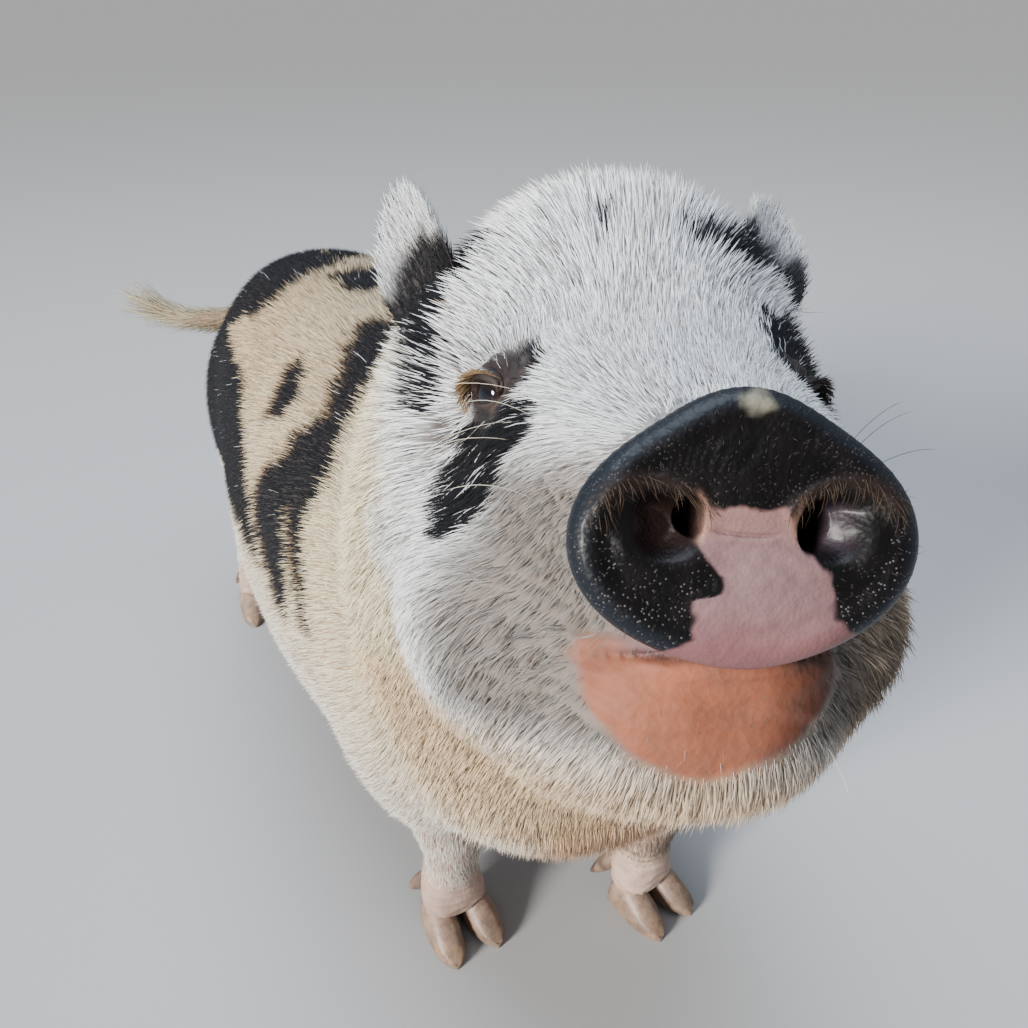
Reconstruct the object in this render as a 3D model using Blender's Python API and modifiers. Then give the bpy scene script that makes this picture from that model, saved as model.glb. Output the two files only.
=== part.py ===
"""A Vietnamese pot-bellied pig at life size, standing square with its head raised and turned to its right.

Metres, +Z up. The pig faces -Y and its left side is +X. The flesh is modelled whole from lofts and
rounded masses, fused, smoothed and sculpted, and then parted with thin cuts into the named parts.
The head is modelled in its own frame: the origin is midway between the eyes, -Y runs along the snout,
+Z is up and the line of the mouth is level. A foot has a frame too: its origin is on the floor below
the toes, which point along -Y.
"""

import math
import random

import bmesh
import bpy
import numpy as np
from mathutils import Matrix, Vector

# Sizes of the animal
FORE_STANCE = 0.0616
HIND_STANCE = 0.0740
DISC_CENTRE = -0.0375
# The disc's reach from its centre is a sum of cosines of the angle from its top
DISC_WAVES = (0.0348, -0.0008, -0.0041, 0.0012, 0.0013)
DISC_BACK = -0.1060
DISC_FRONT = -0.1195
DISC_SIDES = 36
NOSTRIL = Vector((0.0140, -0.1195, -0.0345))
NOSTRIL_HOLE = (0.0044, 0.0095, 0.0072)
NOSTRIL_HOLLOW = (0.0110, 0.0034, 0.0082)
NOSTRIL_HOLLOW_OUT = 0.0085
NOSTRIL_HOLLOW_UP = 0.0010
MOUTH_DEPTH = 0.0050
MOUTH_HEIGHT = 0.0013
# The left half of the mouth's line, from the middle to the corner
MOUTH_HALF = [
    (0.0, -0.1010, -0.0690),
    (0.0200, -0.0975, -0.0695),
    (0.0370, -0.0840, -0.0720),
    (0.0450, -0.0680, -0.0780),
]
EYE_RADIUS = 0.0115
EYE_CENTRE = Vector((0.0462, -0.0055, 0.0005))
EYE_SIDES = 18
EYE_TURN = math.radians(55.0)
EYE_OPENING = (0.0098, 0.0120, 0.0068)
EAR_WIDTH = 0.040
EAR_CUP = 0.012
EAR_BELLY = 0.005
EAR_THICKNESS = 0.0044
EAR_ROWS = 8
EAR_COLUMNS = 6
TAIL_LOCKS = 9
TAIL_LOCK_LENGTH = 0.055
TAIL_LOCK_WIDTH = 0.008
TAIL_LOCK_FLATNESS = 0.42
TAIL_LOCK_SPREAD = 0.010
TAIL_LOCK_DROOP = 0.016
# Along a lock of the tassel: share of its length, share of its width
TAIL_LOCK_SHAPE = ((0.0, 0.55), (0.25, 1.0), (0.6, 0.8), (1.0, 0.12))

# Where the head stands on the neck
HEAD_PLACE = Vector((-0.0480, -0.0993, 0.4485))
HEAD_YAW = math.radians(-23.8)
HEAD_PITCH = math.radians(27.5)
HEAD_ROLL = math.radians(3.2)

# Root, tip and the way its cup faces, of each ear in the head's frame: the right one leans outwards, the
# left one is held closer and faces forwards
EARS = {
    "right": (Vector((-0.0620, 0.062, 0.030)), Vector((-0.0870, 0.082, 0.088)), Vector((-0.65, -0.76, 0.0))),
    "left": (Vector((0.0520, 0.062, 0.040)), Vector((0.0700, 0.085, 0.088)), Vector((0.42, -0.91, 0.0))),
}

# Planes that part the head from the neck, in the head's frame, and the neck from the torso
HEAD_CUT = (Vector((0.0, 0.110, 0.080)), Vector((0.0, -0.949, 0.316)))
NECK_CUT = (Vector((0.0, 0.060, 0.400)), Vector((0.0, -0.781, 0.625)))
# Blocks that part a leg from the torso, from the foot's y: centre, size, and the left one's turn about +Y
FORE_BLOCK = (Vector((0.0935, -0.0040, 0.0550)), Vector((0.1400, 0.1040, 0.2100)), math.radians(-12.0))
HIND_BLOCK = (Vector((0.1115, -0.0250, 0.0600)), Vector((0.1600, 0.1500, 0.2600)), math.radians(-14.0))

# The model is moved by this much so that its box stands over the origin
BOX_SHIFT = Vector((0.008355, -0.193045, 0.0))

# How the flesh is made
GAP = 0.0003
SAME = 1e-6
# Across the disc's rim from back to front, then over its face: inset from the outline, y
DISC_PROFILE = [
    (0.0030, DISC_BACK - GAP),
    (0.0008, DISC_BACK - 0.0025),
    (0.0000, DISC_BACK - 0.0060),
    (0.0008, DISC_FRONT + 0.0030),
    (0.0030, DISC_FRONT + 0.0006),
    (0.0062, DISC_FRONT),
    (0.0110, DISC_FRONT + 0.0010),
    (0.0180, DISC_FRONT + 0.0016),
    (0.0270, DISC_FRONT + 0.0012),
]
VOXEL = 0.0040
SOFT_ROUNDS = 60
SOFT_BODY = 0.50
SOFT_HEAD = 0.34
SOFT_MUZZLE = 0.06
SOFT_LEG = 0.08
EVEN_TRIANGLES = 8400
FLESH_TRIANGLES = 4800
HEAD_LOW = 0.300
HEAD_BACK = 0.060
RING_SIDES = 40
STATION_STEPS = 5
LOWEST_FLESH = 0.0015

HEAD = (
    Matrix.Translation(HEAD_PLACE)
    @ Matrix.Rotation(HEAD_YAW, 4, "Z")
    @ Matrix.Rotation(-HEAD_PITCH, 4, "X")
    @ Matrix.Rotation(HEAD_ROLL, 4, "Y")
)

SHARP_ANGLE = math.radians(40.0)

# Colours as linear values, and roughness
COAT = ((0.62, 0.56, 0.46), 0.75)
WHITE_COAT = ((0.72, 0.70, 0.66), 0.75)
SNOUT_SKIN = ((0.045, 0.030, 0.032), 0.35)
EYE_GLASS = ((0.018, 0.010, 0.007), 0.08)
HORN = ((0.26, 0.17, 0.12), 0.5)

# Lofts: x, y, z of the centre, half width, reach up, reach down
TORSO_STATIONS = [
    (0.000, -0.094, 0.260, 0.040, 0.050, 0.054),
    (0.000, -0.084, 0.262, 0.076, 0.080, 0.082),
    (0.000, -0.054, 0.262, 0.108, 0.112, 0.102),
    (0.000, -0.008, 0.258, 0.125, 0.138, 0.108),
    (0.000, 0.046, 0.247, 0.131, 0.153, 0.112),
    (0.000, 0.110, 0.230, 0.135, 0.161, 0.120),
    (0.000, 0.180, 0.220, 0.136, 0.163, 0.120),
    (0.000, 0.250, 0.222, 0.132, 0.159, 0.118),
    (0.000, 0.310, 0.230, 0.123, 0.152, 0.114),
    (0.000, 0.370, 0.245, 0.111, 0.138, 0.106),
    (0.000, 0.425, 0.258, 0.099, 0.121, 0.096),
    (0.000, 0.465, 0.266, 0.084, 0.103, 0.086),
    (0.000, 0.495, 0.272, 0.062, 0.079, 0.070),
    (0.000, 0.514, 0.276, 0.036, 0.044, 0.042),
]
NECK_STATIONS = [
    (0.000, 0.080, 0.262, 0.120, 0.138, 0.140),
    (-0.003, 0.030, 0.285, 0.122, 0.140, 0.140),
    (-0.012, -0.010, 0.325, 0.119, 0.140, 0.126),
    (-0.026, -0.040, 0.372, 0.110, 0.130, 0.110),
    (-0.038, -0.062, 0.412, 0.094, 0.110, 0.100),
    (-0.046, -0.080, 0.438, 0.076, 0.084, 0.084),
]
CRANIUM_STATIONS = [
    (0.0, -0.1120, -0.0375, 0.0345, 0.0275, 0.0270),
    (0.0, -0.1060, -0.0375, 0.0365, 0.0285, 0.0285),
    (0.0, -0.0970, -0.0370, 0.0385, 0.0300, 0.0295),
    (0.0, -0.0840, -0.0360, 0.0425, 0.0330, 0.0310),
    (0.0, -0.0640, -0.0345, 0.0490, 0.0380, 0.0350),
    (0.0, -0.0420, -0.0320, 0.0555, 0.0440, 0.0420),
    (0.0, -0.0180, -0.0280, 0.0590, 0.0530, 0.0520),
    (0.0, 0.0050, -0.0230, 0.0620, 0.0690, 0.0600),
    (0.0, 0.0300, -0.0190, 0.0710, 0.0900, 0.0680),
    (0.0, 0.0560, -0.0160, 0.0800, 0.1090, 0.0720),
    (0.0, 0.0850, -0.0180, 0.0860, 0.1200, 0.0740),
    (0.0, 0.1150, -0.0280, 0.0870, 0.1200, 0.0740),
    (0.0, 0.1450, -0.0420, 0.0800, 0.1080, 0.0720),
]
JAW_STATIONS = [
    (0.0, -0.1000, -0.0800, 0.0140, 0.0080, 0.0100),
    (0.0, -0.0955, -0.0800, 0.0270, 0.0180, 0.0190),
    (0.0, -0.0860, -0.0810, 0.0365, 0.0250, 0.0265),
    (0.0, -0.0680, -0.0830, 0.0480, 0.0300, 0.0335),
    (0.0, -0.0400, -0.0840, 0.0640, 0.0400, 0.0400),
    (0.0, -0.0100, -0.0860, 0.0750, 0.0480, 0.0460),
    (0.0, 0.0250, -0.0880, 0.0820, 0.0500, 0.0520),
    (0.0, 0.0600, -0.0900, 0.0870, 0.0500, 0.0560),
    (0.0, 0.0900, -0.0920, 0.0890, 0.0500, 0.0580),
]
# Round masses in the head's frame: x of the left one, y, z, then three radii
HEAD_MASSES = [
    (0.0400, 0.0020, -0.0700, 0.0460, 0.0760, 0.0440),
    (0.0442, -0.0025, 0.0030, 0.0150, 0.0240, 0.0200),
]
# Round masses of the body: x of the left one, y, z, then three radii
BODY_MASSES = [
    (0.0760, 0.0450, 0.2350, 0.0580, 0.0780, 0.1100),
    (0.0520, 0.4250, 0.2350, 0.0560, 0.0800, 0.0980),
    (0.0000, 0.1750, 0.1900, 0.1290, 0.1750, 0.0980),
]
# Legs: height, x outside the stance, y behind the foot, half width, reach forward, reach back
FORE_LEG = [
    (0.240, 0.010, -0.004, 0.042, 0.054, 0.056),
    (0.190, 0.008, -0.004, 0.042, 0.050, 0.052),
    (0.150, 0.005, -0.004, 0.0370, 0.042, 0.042),
    (0.120, 0.002, -0.005, 0.0300, 0.034, 0.033),
    (0.090, 0.001, -0.004, 0.0230, 0.0250, 0.0245),
    (0.065, 0.000, -0.002, 0.0190, 0.0195, 0.0200),
    (0.045, 0.000, 0.001, 0.0215, 0.0200, 0.0220),
    (0.032, 0.000, 0.001, 0.0225, 0.0190, 0.0200),
    (0.018, 0.000, 0.004, 0.0195, 0.0150, 0.0165),
    (0.004, 0.000, 0.008, 0.0150, 0.0100, 0.0110),
]
HIND_LEG = [
    (0.250, -0.026, -0.060, 0.040, 0.062, 0.050),
    (0.205, -0.016, -0.046, 0.044, 0.058, 0.046),
    (0.165, -0.010, -0.022, 0.0350, 0.044, 0.040),
    (0.130, -0.005, 0.002, 0.0225, 0.028, 0.027),
    (0.098, -0.002, 0.008, 0.0185, 0.0205, 0.0210),
    (0.068, 0.000, 0.004, 0.0180, 0.0190, 0.0195),
    (0.046, 0.000, 0.002, 0.0205, 0.0190, 0.0215),
    (0.032, 0.000, 0.001, 0.0215, 0.0190, 0.0200),
    (0.018, 0.000, 0.004, 0.0190, 0.0150, 0.0165),
    (0.004, 0.000, 0.008, 0.0150, 0.0100, 0.0110),
]
# Feet: x, y, the leg's shape and the turn of the toes
FEET = {
    "front_right": (-FORE_STANCE, 0.0560, FORE_LEG, math.radians(2.0)),
    "front_left": (FORE_STANCE, 0.0110, FORE_LEG, math.radians(12.0)),
    "hind_right": (-HIND_STANCE, 0.4850, HIND_LEG, math.radians(-4.0)),
    "hind_left": (HIND_STANCE, 0.4700, HIND_LEG, math.radians(6.0)),
}
# A main hoof, from the heel to the tip: y, half width, height of its top
HOOF_STATIONS = [
    (0.0080, 0.0098, 0.0230),
    (-0.0040, 0.0112, 0.0270),
    (-0.0150, 0.0114, 0.0230),
    (-0.0240, 0.0104, 0.0172),
    (-0.0305, 0.0082, 0.0125),
    (-0.0350, 0.0052, 0.0085),
    (-0.0372, 0.0020, 0.0055),
]
# The plane that cuts a main hoof's top edge back, and the round knuckle above it
HOOF_TRIM = (Vector((0.0, -0.0040, 0.0215)), Vector((0.0, -0.55, -0.835)))
KNUCKLE = (-0.0040, 0.0245)
KNUCKLE_RADII = (0.0112, 0.0150, 0.0120)
HOOF_CENTRE = 0.006
HOOF_DEPTH = 0.012
HOOF_SPREAD = 0.0125
HOOF_SPLAY = math.radians(5.0)
DEWCLAW_PLACE = Vector((0.0120, 0.0150, 0.0330))
DEWCLAW_WAY = Vector((0.4000, 0.5200, -0.7600))
DEWCLAW_LENGTH = 0.022
DEWCLAW_RADIUS = 0.0062
# Along a dewclaw: share of its length, share of its radius
DEWCLAW_SHAPE = [(-0.45, 0.70), (-0.10, 1.0), (0.30, 0.95), (0.60, 0.72), (0.85, 0.42), (1.0, 0.14)]
# The tail's line and its thickness
TAIL_LINE = [
    (0.000, 0.470, 0.291, 0.0125),
    (-0.004, 0.505, 0.291, 0.0110),
    (-0.026, 0.530, 0.287, 0.0092),
    (-0.060, 0.553, 0.281, 0.0076),
    (-0.092, 0.574, 0.283, 0.0062),
    (-0.114, 0.589, 0.293, 0.0048),
]


def clear_scene():
    for thing in list(bpy.data.objects):
        bpy.data.objects.remove(thing, do_unlink=True)


def material(name, look):
    colour, roughness = look
    made = bpy.data.materials.new(name)
    made.use_nodes = True
    shader = made.node_tree.nodes["Principled BSDF"]
    shader.inputs["Base Color"].default_value = (*colour, 1.0)
    shader.inputs["Roughness"].default_value = roughness
    return made


def new_collection(name):
    made = bpy.data.collections.new(name)
    bpy.context.scene.collection.children.link(made)
    return made


def mesh_from(build, name):
    mesh = bpy.data.meshes.new(name)
    build.to_mesh(mesh)
    build.free()
    return mesh


def object_from(name, mesh, collection):
    made = bpy.data.objects.new(name, mesh)
    collection.objects.link(made)
    return made


def discard(*things):
    for thing in things:
        bpy.data.objects.remove(thing, do_unlink=True)


def evaluated_copy(thing, name, collection):
    """A new object whose mesh is the given one with its modifiers applied."""
    bpy.context.view_layer.update()
    graph = bpy.context.evaluated_depsgraph_get()
    mesh = bpy.data.meshes.new_from_object(thing.evaluated_get(graph))
    mesh.transform(thing.matrix_world)
    return object_from(name, mesh, collection)


def between(before, start, end, after, t):
    """A point of the Catmull-Rom curve from start to end."""
    return 0.5 * (
        2 * start
        + (end - before) * t
        + (2 * before - 5 * start + 4 * end - after) * t * t
        + (3 * start - before - 3 * end + after) * t**3
    )


def eased(rows, steps):
    """The rows with smoothly interpolated rows set between them."""
    rows = np.array(rows, float)
    padded = np.vstack([2 * rows[0] - rows[1], rows, 2 * rows[-1] - rows[-2]])
    made = [between(*padded[i : i + 4], step / steps) for i in range(len(rows) - 1) for step in range(steps)]
    return np.array([*made, rows[-1]])


def skinned(name, rings, collection, place=None):
    """A closed skin through rings of equally many points, with a flat cap at each end."""
    build = bmesh.new()
    made = [[build.verts.new(point) for point in ring] for ring in rings]
    for near, far in zip(made, made[1:]):
        for k in range(len(near)):
            after = (k + 1) % len(near)
            build.faces.new((near[k], near[after], far[after], far[k]))
    build.faces.new(made[0])
    build.faces.new(reversed(made[-1]))
    bmesh.ops.recalc_face_normals(build, faces=build.faces)
    bmesh.ops.triangulate(build, faces=build.faces)
    mesh = mesh_from(build, name)
    if place is not None:
        mesh.transform(place)
    return object_from(name, mesh, collection)


def powered(value, squareness):
    return math.copysign(abs(value) ** (2 / squareness), value)


def loft(name, stations, collection, up_hint=(0, 0, 1), place=None, squareness=2.15, sides=RING_SIDES,
         steps=STATION_STEPS):
    """A closed skin through oval rings. A station is its centre, half width, reach up and reach down."""
    rows = eased(stations, steps)
    rings = []
    for i, row in enumerate(rows):
        ahead, behind = rows[min(i + 1, len(rows) - 1)], rows[max(i - 1, 0)]
        tangent = Vector(ahead[:3] - behind[:3]).normalized()
        side = tangent.cross(Vector(up_hint)).normalized()
        up = side.cross(tangent).normalized()
        centre, half_width, reach_up, reach_down = Vector(row[:3]), *row[3:]
        ring = []
        for k in range(sides):
            across = powered(math.cos(math.tau * k / sides), squareness)
            along = powered(math.sin(math.tau * k / sides), squareness)
            reach = reach_up if along > 0 else reach_down
            ring.append(centre + side * half_width * across + up * reach * along)
        rings.append(ring)
    return skinned(name, rings, collection, place)


def ball(name, centre, radii, collection, place=None, segments=24):
    build = bmesh.new()
    bmesh.ops.create_uvsphere(build, u_segments=segments, v_segments=segments // 2, radius=1.0)
    mesh = mesh_from(build, name)
    mesh.transform(Matrix.Translation(Vector(centre)) @ Matrix.Diagonal((*radii, 1.0)))
    if place is not None:
        mesh.transform(place)
    return object_from(name, mesh, collection)


def box(name, centre, size, collection, place=None):
    build = bmesh.new()
    bmesh.ops.create_cube(build, size=1.0)
    mesh = mesh_from(build, name)
    mesh.transform(Matrix.Translation(Vector(centre)) @ Matrix.Diagonal((*size, 1.0)))
    if place is not None:
        mesh.transform(place)
    return object_from(name, mesh, collection)


def joined(name, things, collection):
    """One object that holds all the meshes."""
    build = bmesh.new()
    for thing in things:
        build.from_mesh(thing.data)
    made = object_from(name, mesh_from(build, name), collection)
    discard(*things)
    return made


def grown(thing, amount, collection):
    """A copy whose surface is moved outwards."""
    mesh = thing.data.copy()
    points = np.array([vert.co + vert.normal * amount for vert in mesh.vertices])
    mesh.vertices.foreach_set("co", points.ravel())
    mesh.update()
    return object_from(thing.name + "_grown", mesh, collection)


def keep_largest(mesh):
    """Drops every loose scrap beside the largest closed surface."""
    build = bmesh.new()
    build.from_mesh(mesh)
    unseen = set(build.verts)
    islands = []
    while unseen:
        island, edge = set(), [unseen.pop()]
        while edge:
            vert = edge.pop()
            island.add(vert)
            near = [link.other_vert(vert) for link in vert.link_edges]
            edge.extend(other for other in near if other in unseen)
            unseen.difference_update(near)
        islands.append(island)
    islands.sort(key=len)
    for island in islands[:-1]:
        bmesh.ops.delete(build, geom=list(island), context="VERTS")
    build.to_mesh(mesh)
    build.free()


def combined(thing, cutters, operation, name, collection, solver="EXACT"):
    """The thing after a Boolean with each cutter in turn. The thing and the cutters are used up."""
    for cutter in cutters:
        step = thing.modifiers.new("cut", "BOOLEAN")
        step.operation = operation
        step.solver = solver
        step.object = cutter
    made = evaluated_copy(thing, name, collection)
    discard(thing, *cutters)
    keep_largest(made.data)
    return made


def sliced(thing, point, normal, name, collection):
    """What lies on the side of a plane that its normal points to, closed with a flat face."""
    build = bmesh.new()
    build.from_mesh(thing.data)
    whole = [*build.verts, *build.edges, *build.faces]
    bmesh.ops.bisect_plane(build, geom=whole, plane_co=point, plane_no=normal, dist=SAME, clear_inner=True)
    rim = [edge for edge in build.edges if edge.is_boundary]
    bmesh.ops.holes_fill(build, edges=rim, sides=0)
    made = object_from(name, mesh_from(build, name), collection)
    keep_largest(made.data)
    return made


def parted(thing, point, normal, names, collection):
    """The thing's two sides of a plane, a gap apart. The first is the one that the normal points to."""
    half = normal.normalized() * GAP / 2
    ahead = sliced(thing, point + half, normal, names[0], collection)
    behind = sliced(thing, point - half, -normal, names[1], collection)
    discard(thing)
    return ahead, behind


def foot_place(name):
    x, y, _, turn = FEET[name]
    return Matrix.Translation((x, y, 0.0)) @ Matrix.Rotation(turn, 4, "Z")


def leg_masses(collection):
    made = []
    for name, (x, y, shape, _) in FEET.items():
        side = math.copysign(1.0, x)
        stations = [(x + side * out, y + back, z, *reach) for z, out, back, *reach in shape]
        made.append(loft("leg", stations, collection, up_hint=(0, -1, 0)))
        for toe in (-1, 1):
            knuckle = (HOOF_SPREAD * toe, *KNUCKLE)
            made.append(ball("toe", knuckle, KNUCKLE_RADII, collection, foot_place(name)))
    return made


def paired(rows, collection, place=None):
    """The balls of the rows, each on both sides of the middle, or once where it lies on it."""
    made = []
    for x, y, z, *radii in rows:
        for side in (-1, 1) if x else (1,):
            made.append(ball("mass", (side * x, y, z), radii, collection, place))
    return made


def softening(points):
    """How strongly each point of the flesh is smoothed: most on the body, least on the muzzle and legs."""
    local = points @ np.array(HEAD.inverted().to_3x3()).T + np.array(HEAD.inverted().translation)
    to_head = np.clip((0.11 - local[:, 1]) / 0.08, 0, 1) * (points[:, 2] > 0.24)
    to_muzzle = np.clip((-0.02 - local[:, 1]) / 0.05, 0, 1) * to_head
    to_leg = np.clip((0.15 - points[:, 2]) / 0.04, 0, 1)
    weight = SOFT_BODY + (SOFT_HEAD - SOFT_BODY) * to_head
    weight += (SOFT_MUZZLE - SOFT_HEAD) * to_muzzle
    return weight + (SOFT_LEG - weight) * to_leg


def softened(mesh, rounds):
    """Smooths a mesh in place by drawing each point to the middle of its neighbours."""
    points = np.empty(len(mesh.vertices) * 3)
    mesh.vertices.foreach_get("co", points)
    points = points.reshape(-1, 3)
    ends = np.empty(len(mesh.edges) * 2, int)
    mesh.edges.foreach_get("vertices", ends)
    near, far = ends.reshape(-1, 2).T
    count = len(points)
    shared = np.bincount(near, minlength=count) + np.bincount(far, minlength=count)
    weight = softening(points)[:, None]
    for _ in range(rounds):
        total = np.stack(
            [
                np.bincount(near, points[far, axis], count) + np.bincount(far, points[near, axis], count)
                for axis in range(3)
            ],
            axis=1,
        )
        points += weight * (total / shared[:, None] - points)
    points[:, 2] = np.maximum(points[:, 2], LOWEST_FLESH)
    mesh.vertices.foreach_set("co", points.ravel())
    mesh.update()


def whole_flesh(collection):
    """The whole animal's flesh as one smooth skin, before any detail."""
    masses = [
        loft("torso", TORSO_STATIONS, collection),
        loft("neck", NECK_STATIONS, collection),
        loft("cranium", CRANIUM_STATIONS, collection, place=HEAD),
        loft("jaw", JAW_STATIONS, collection, place=HEAD),
        *paired(BODY_MASSES, collection),
        *paired(HEAD_MASSES, collection, HEAD),
        *leg_masses(collection),
    ]
    rough = joined("rough", masses, collection)
    remesh = rough.modifiers.new("fuse", "REMESH")
    remesh.mode = "VOXEL"
    remesh.voxel_size = VOXEL
    flesh = evaluated_copy(rough, "flesh", collection)
    discard(rough)
    softened(flesh.data, SOFT_ROUNDS)
    return flesh


def disc_outline(angle, inset):
    """A point of the disc's edge in the head's frame: wide at the sides, with a narrower dome on top."""
    from_top = math.pi / 2 - angle
    reach = sum(wave * math.cos(k * from_top) for k, wave in enumerate(DISC_WAVES)) - inset
    return reach * math.cos(angle), DISC_CENTRE + reach * math.sin(angle)


def snout_disc(collection):
    """The bare plate at the tip of the snout: a rolled rim around a slightly hollow face."""
    rings = []
    for inset, y in DISC_PROFILE:
        points = [disc_outline(math.tau * k / DISC_SIDES, inset) for k in range(DISC_SIDES)]
        rings.append([(x, y, z) for x, z in points])
    return skinned("snout", rings, collection, HEAD)


def thinned(flesh, collection):
    """The flesh with fewer triangles, which stay finer on the head."""
    group = flesh.vertex_groups.new(name="body")
    inverse = HEAD.inverted()
    for vert in flesh.data.vertices:
        on_head = vert.co.z > HEAD_LOW and (inverse @ vert.co).y < HEAD_BACK
        group.add([vert.index], 0.0 if on_head else 1.0, "REPLACE")
    triangles = 2 * len(flesh.data.polygons)
    even = flesh.modifiers.new("even", "DECIMATE")
    even.ratio = EVEN_TRIANGLES / triangles
    thin = flesh.modifiers.new("thin", "DECIMATE")
    thin.ratio = FLESH_TRIANGLES / EVEN_TRIANGLES
    thin.vertex_group = group.name
    made = evaluated_copy(flesh, "flesh", collection)
    discard(flesh)
    return made


def eyeball(side, collection):
    centre = Vector((side * EYE_CENTRE.x, EYE_CENTRE.y, EYE_CENTRE.z))
    name = "eye_left" if side > 0 else "eye_right"
    return ball(name, centre, (EYE_RADIUS,) * 3, collection, HEAD, segments=EYE_SIDES)


def eye_cutters(side, collection):
    """The socket and the slit between the lids, which faces outwards and forwards."""
    centre = Vector((side * EYE_CENTRE.x, EYE_CENTRE.y, EYE_CENTRE.z))
    socket = ball("socket", centre, (EYE_RADIUS + GAP,) * 3, collection, HEAD, segments=EYE_SIDES)
    facing = Matrix.Translation(centre) @ Matrix.Rotation(side * EYE_TURN, 4, "Z")
    slit = ball("slit", (0, -EYE_RADIUS, 0), EYE_OPENING, collection, HEAD @ facing, segments=16)
    return [socket, slit]


def ear(side, collection):
    """An upright leaf, cupped forwards, thin at its rim, with its root sunk into the head."""
    which = "left" if side > 0 else "right"
    root, tip, facing = EARS[which]
    length = (tip - root).length
    rise = (tip - root).normalized()
    facing = (facing - rise * facing.dot(rise)).normalized()
    across = rise.cross(facing)
    spread = [2 * j / EAR_COLUMNS - 1 for j in range(EAR_COLUMNS + 1)]
    rings = []
    for i in range(EAR_ROWS):
        u = i / (EAR_ROWS - 1)
        swell = 0.78 + 0.22 * math.sin(min(u / 0.45, 1.0) * math.pi / 2)
        width = EAR_WIDTH * swell * math.sqrt(1.04 - u**2.4)
        front, back = [], []
        for v in spread:
            cup = EAR_CUP * v * v * (1.1 - u) + EAR_BELLY * math.sin(u * math.pi)
            middle = root + rise * length * u + across * width * v / 2 + facing * cup
            half = EAR_THICKNESS / 2 * (1 - 0.75 * v * v) * (1.05 - 0.5 * u)
            front.append(middle + facing * half)
            back.append(middle - facing * half)
        rings.append(front + back[::-1])
    return skinned("ear_" + which, rings, collection, HEAD)


def nostril_cutters(collection):
    """A round hole each side and the hollow that leads into it from the outer side."""
    made = []
    for side in (-1, 1):
        x, y, z = side * NOSTRIL.x, NOSTRIL.y, NOSTRIL.z
        made.append(ball("hole", (x, y, z), NOSTRIL_HOLE, collection, HEAD, segments=14))
        outer = (x + side * NOSTRIL_HOLLOW_OUT, DISC_FRONT, z + NOSTRIL_HOLLOW_UP)
        made.append(ball("hollow", outer, NOSTRIL_HOLLOW, collection, HEAD, segments=16))
    return made


def mouth_cutter(flesh, collection):
    """A blade along the line of the mouth, laid on the skin from corner to corner."""
    line = [(-x, y, z) for x, y, z in reversed(MOUTH_HALF[1:])] + MOUTH_HALF
    stations = []
    for x, y, z in line:
        found, point, _, _ = flesh.closest_point_on_mesh(HEAD @ Vector((x, y, z)))
        local = HEAD.inverted() @ point
        stations.append((*local, MOUTH_DEPTH, MOUTH_HEIGHT, MOUTH_HEIGHT))
    return loft("mouth", stations, collection, place=HEAD, sides=8, steps=2)


def hoof(name, foot, toe, collection):
    """A main hoof: a blunt wedge with a flat sole, its top edge cut back to where the skin begins."""
    claw = [(0, y, HOOF_CENTRE, half, top - HOOF_CENTRE, HOOF_DEPTH) for y, half, top in HOOF_STATIONS]
    splay = Matrix.Translation((HOOF_SPREAD * toe, 0, 0)) @ Matrix.Rotation(HOOF_SPLAY * toe, 4, "Z")
    place = foot_place(foot) @ splay
    rough = loft("rough", claw, collection, sides=12, steps=1)
    soled = sliced(rough, Vector((0, 0, 0)), Vector((0, 0, 1)), "soled", collection)
    trimmed = sliced(soled, *HOOF_TRIM, name, collection)
    discard(rough, soled)
    trimmed.data.transform(place)
    return trimmed


def dewclaw(name, foot, toe, collection):
    """A small blunt cone behind the foot, clear of the floor."""
    way = Vector((DEWCLAW_WAY.x * toe, DEWCLAW_WAY.y, DEWCLAW_WAY.z)).normalized()
    root = Vector((DEWCLAW_PLACE.x * toe, DEWCLAW_PLACE.y, DEWCLAW_PLACE.z))
    stations = [
        (*(root + way * DEWCLAW_LENGTH * t), *(3 * (DEWCLAW_RADIUS * size,))) for t, size in DEWCLAW_SHAPE
    ]
    return loft(name, stations, collection, up_hint=(0, 1, 0.2), place=foot_place(foot), sides=8, steps=1)


def tail(collection):
    """A thin straight tail that ends in a tassel of flat, tapered locks."""
    stations = [(*row, row[3], row[3]) for row in TAIL_LINE]
    core = loft("tail", stations, collection, sides=10, steps=2, squareness=2.0)
    rows = eased(TAIL_LINE, 6)
    locks = bpy.data.collections.new("locks")
    collection.children.link(locks)
    draw = random.Random(7)
    for k in range(TAIL_LOCKS):
        row = rows[-8 + 7 * k // TAIL_LOCKS]
        along = Vector(rows[-1][:3] - rows[-4][:3]).normalized()
        turn = math.tau * (k * 0.382)
        side = along.cross(Vector((0, 0, 1))).normalized()
        out = side * math.cos(turn) + side.cross(along) * math.sin(turn)
        length = TAIL_LOCK_LENGTH * draw.uniform(0.75, 1.1)
        start = Vector(row[:3]) + out * row[3] * 0.35
        stations = []
        for t, width in TAIL_LOCK_SHAPE:
            point = start + along * length * t + out * TAIL_LOCK_SPREAD * t
            point.z -= TAIL_LOCK_DROOP * t * t
            half = TAIL_LOCK_WIDTH / 2 * width
            stations.append((*point, half, half * TAIL_LOCK_FLATNESS, half * TAIL_LOCK_FLATNESS))
        loft("lock", stations, locks, up_hint=out, sides=6, steps=1)
    fuse = core.modifiers.new("fuse", "BOOLEAN")
    fuse.operation = "UNION"
    fuse.operand_type = "COLLECTION"
    fuse.collection = locks
    made = evaluated_copy(core, "tail", collection)
    discard(core, *locks.objects)
    bpy.data.collections.remove(locks)
    keep_largest(made.data)
    return made


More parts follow.
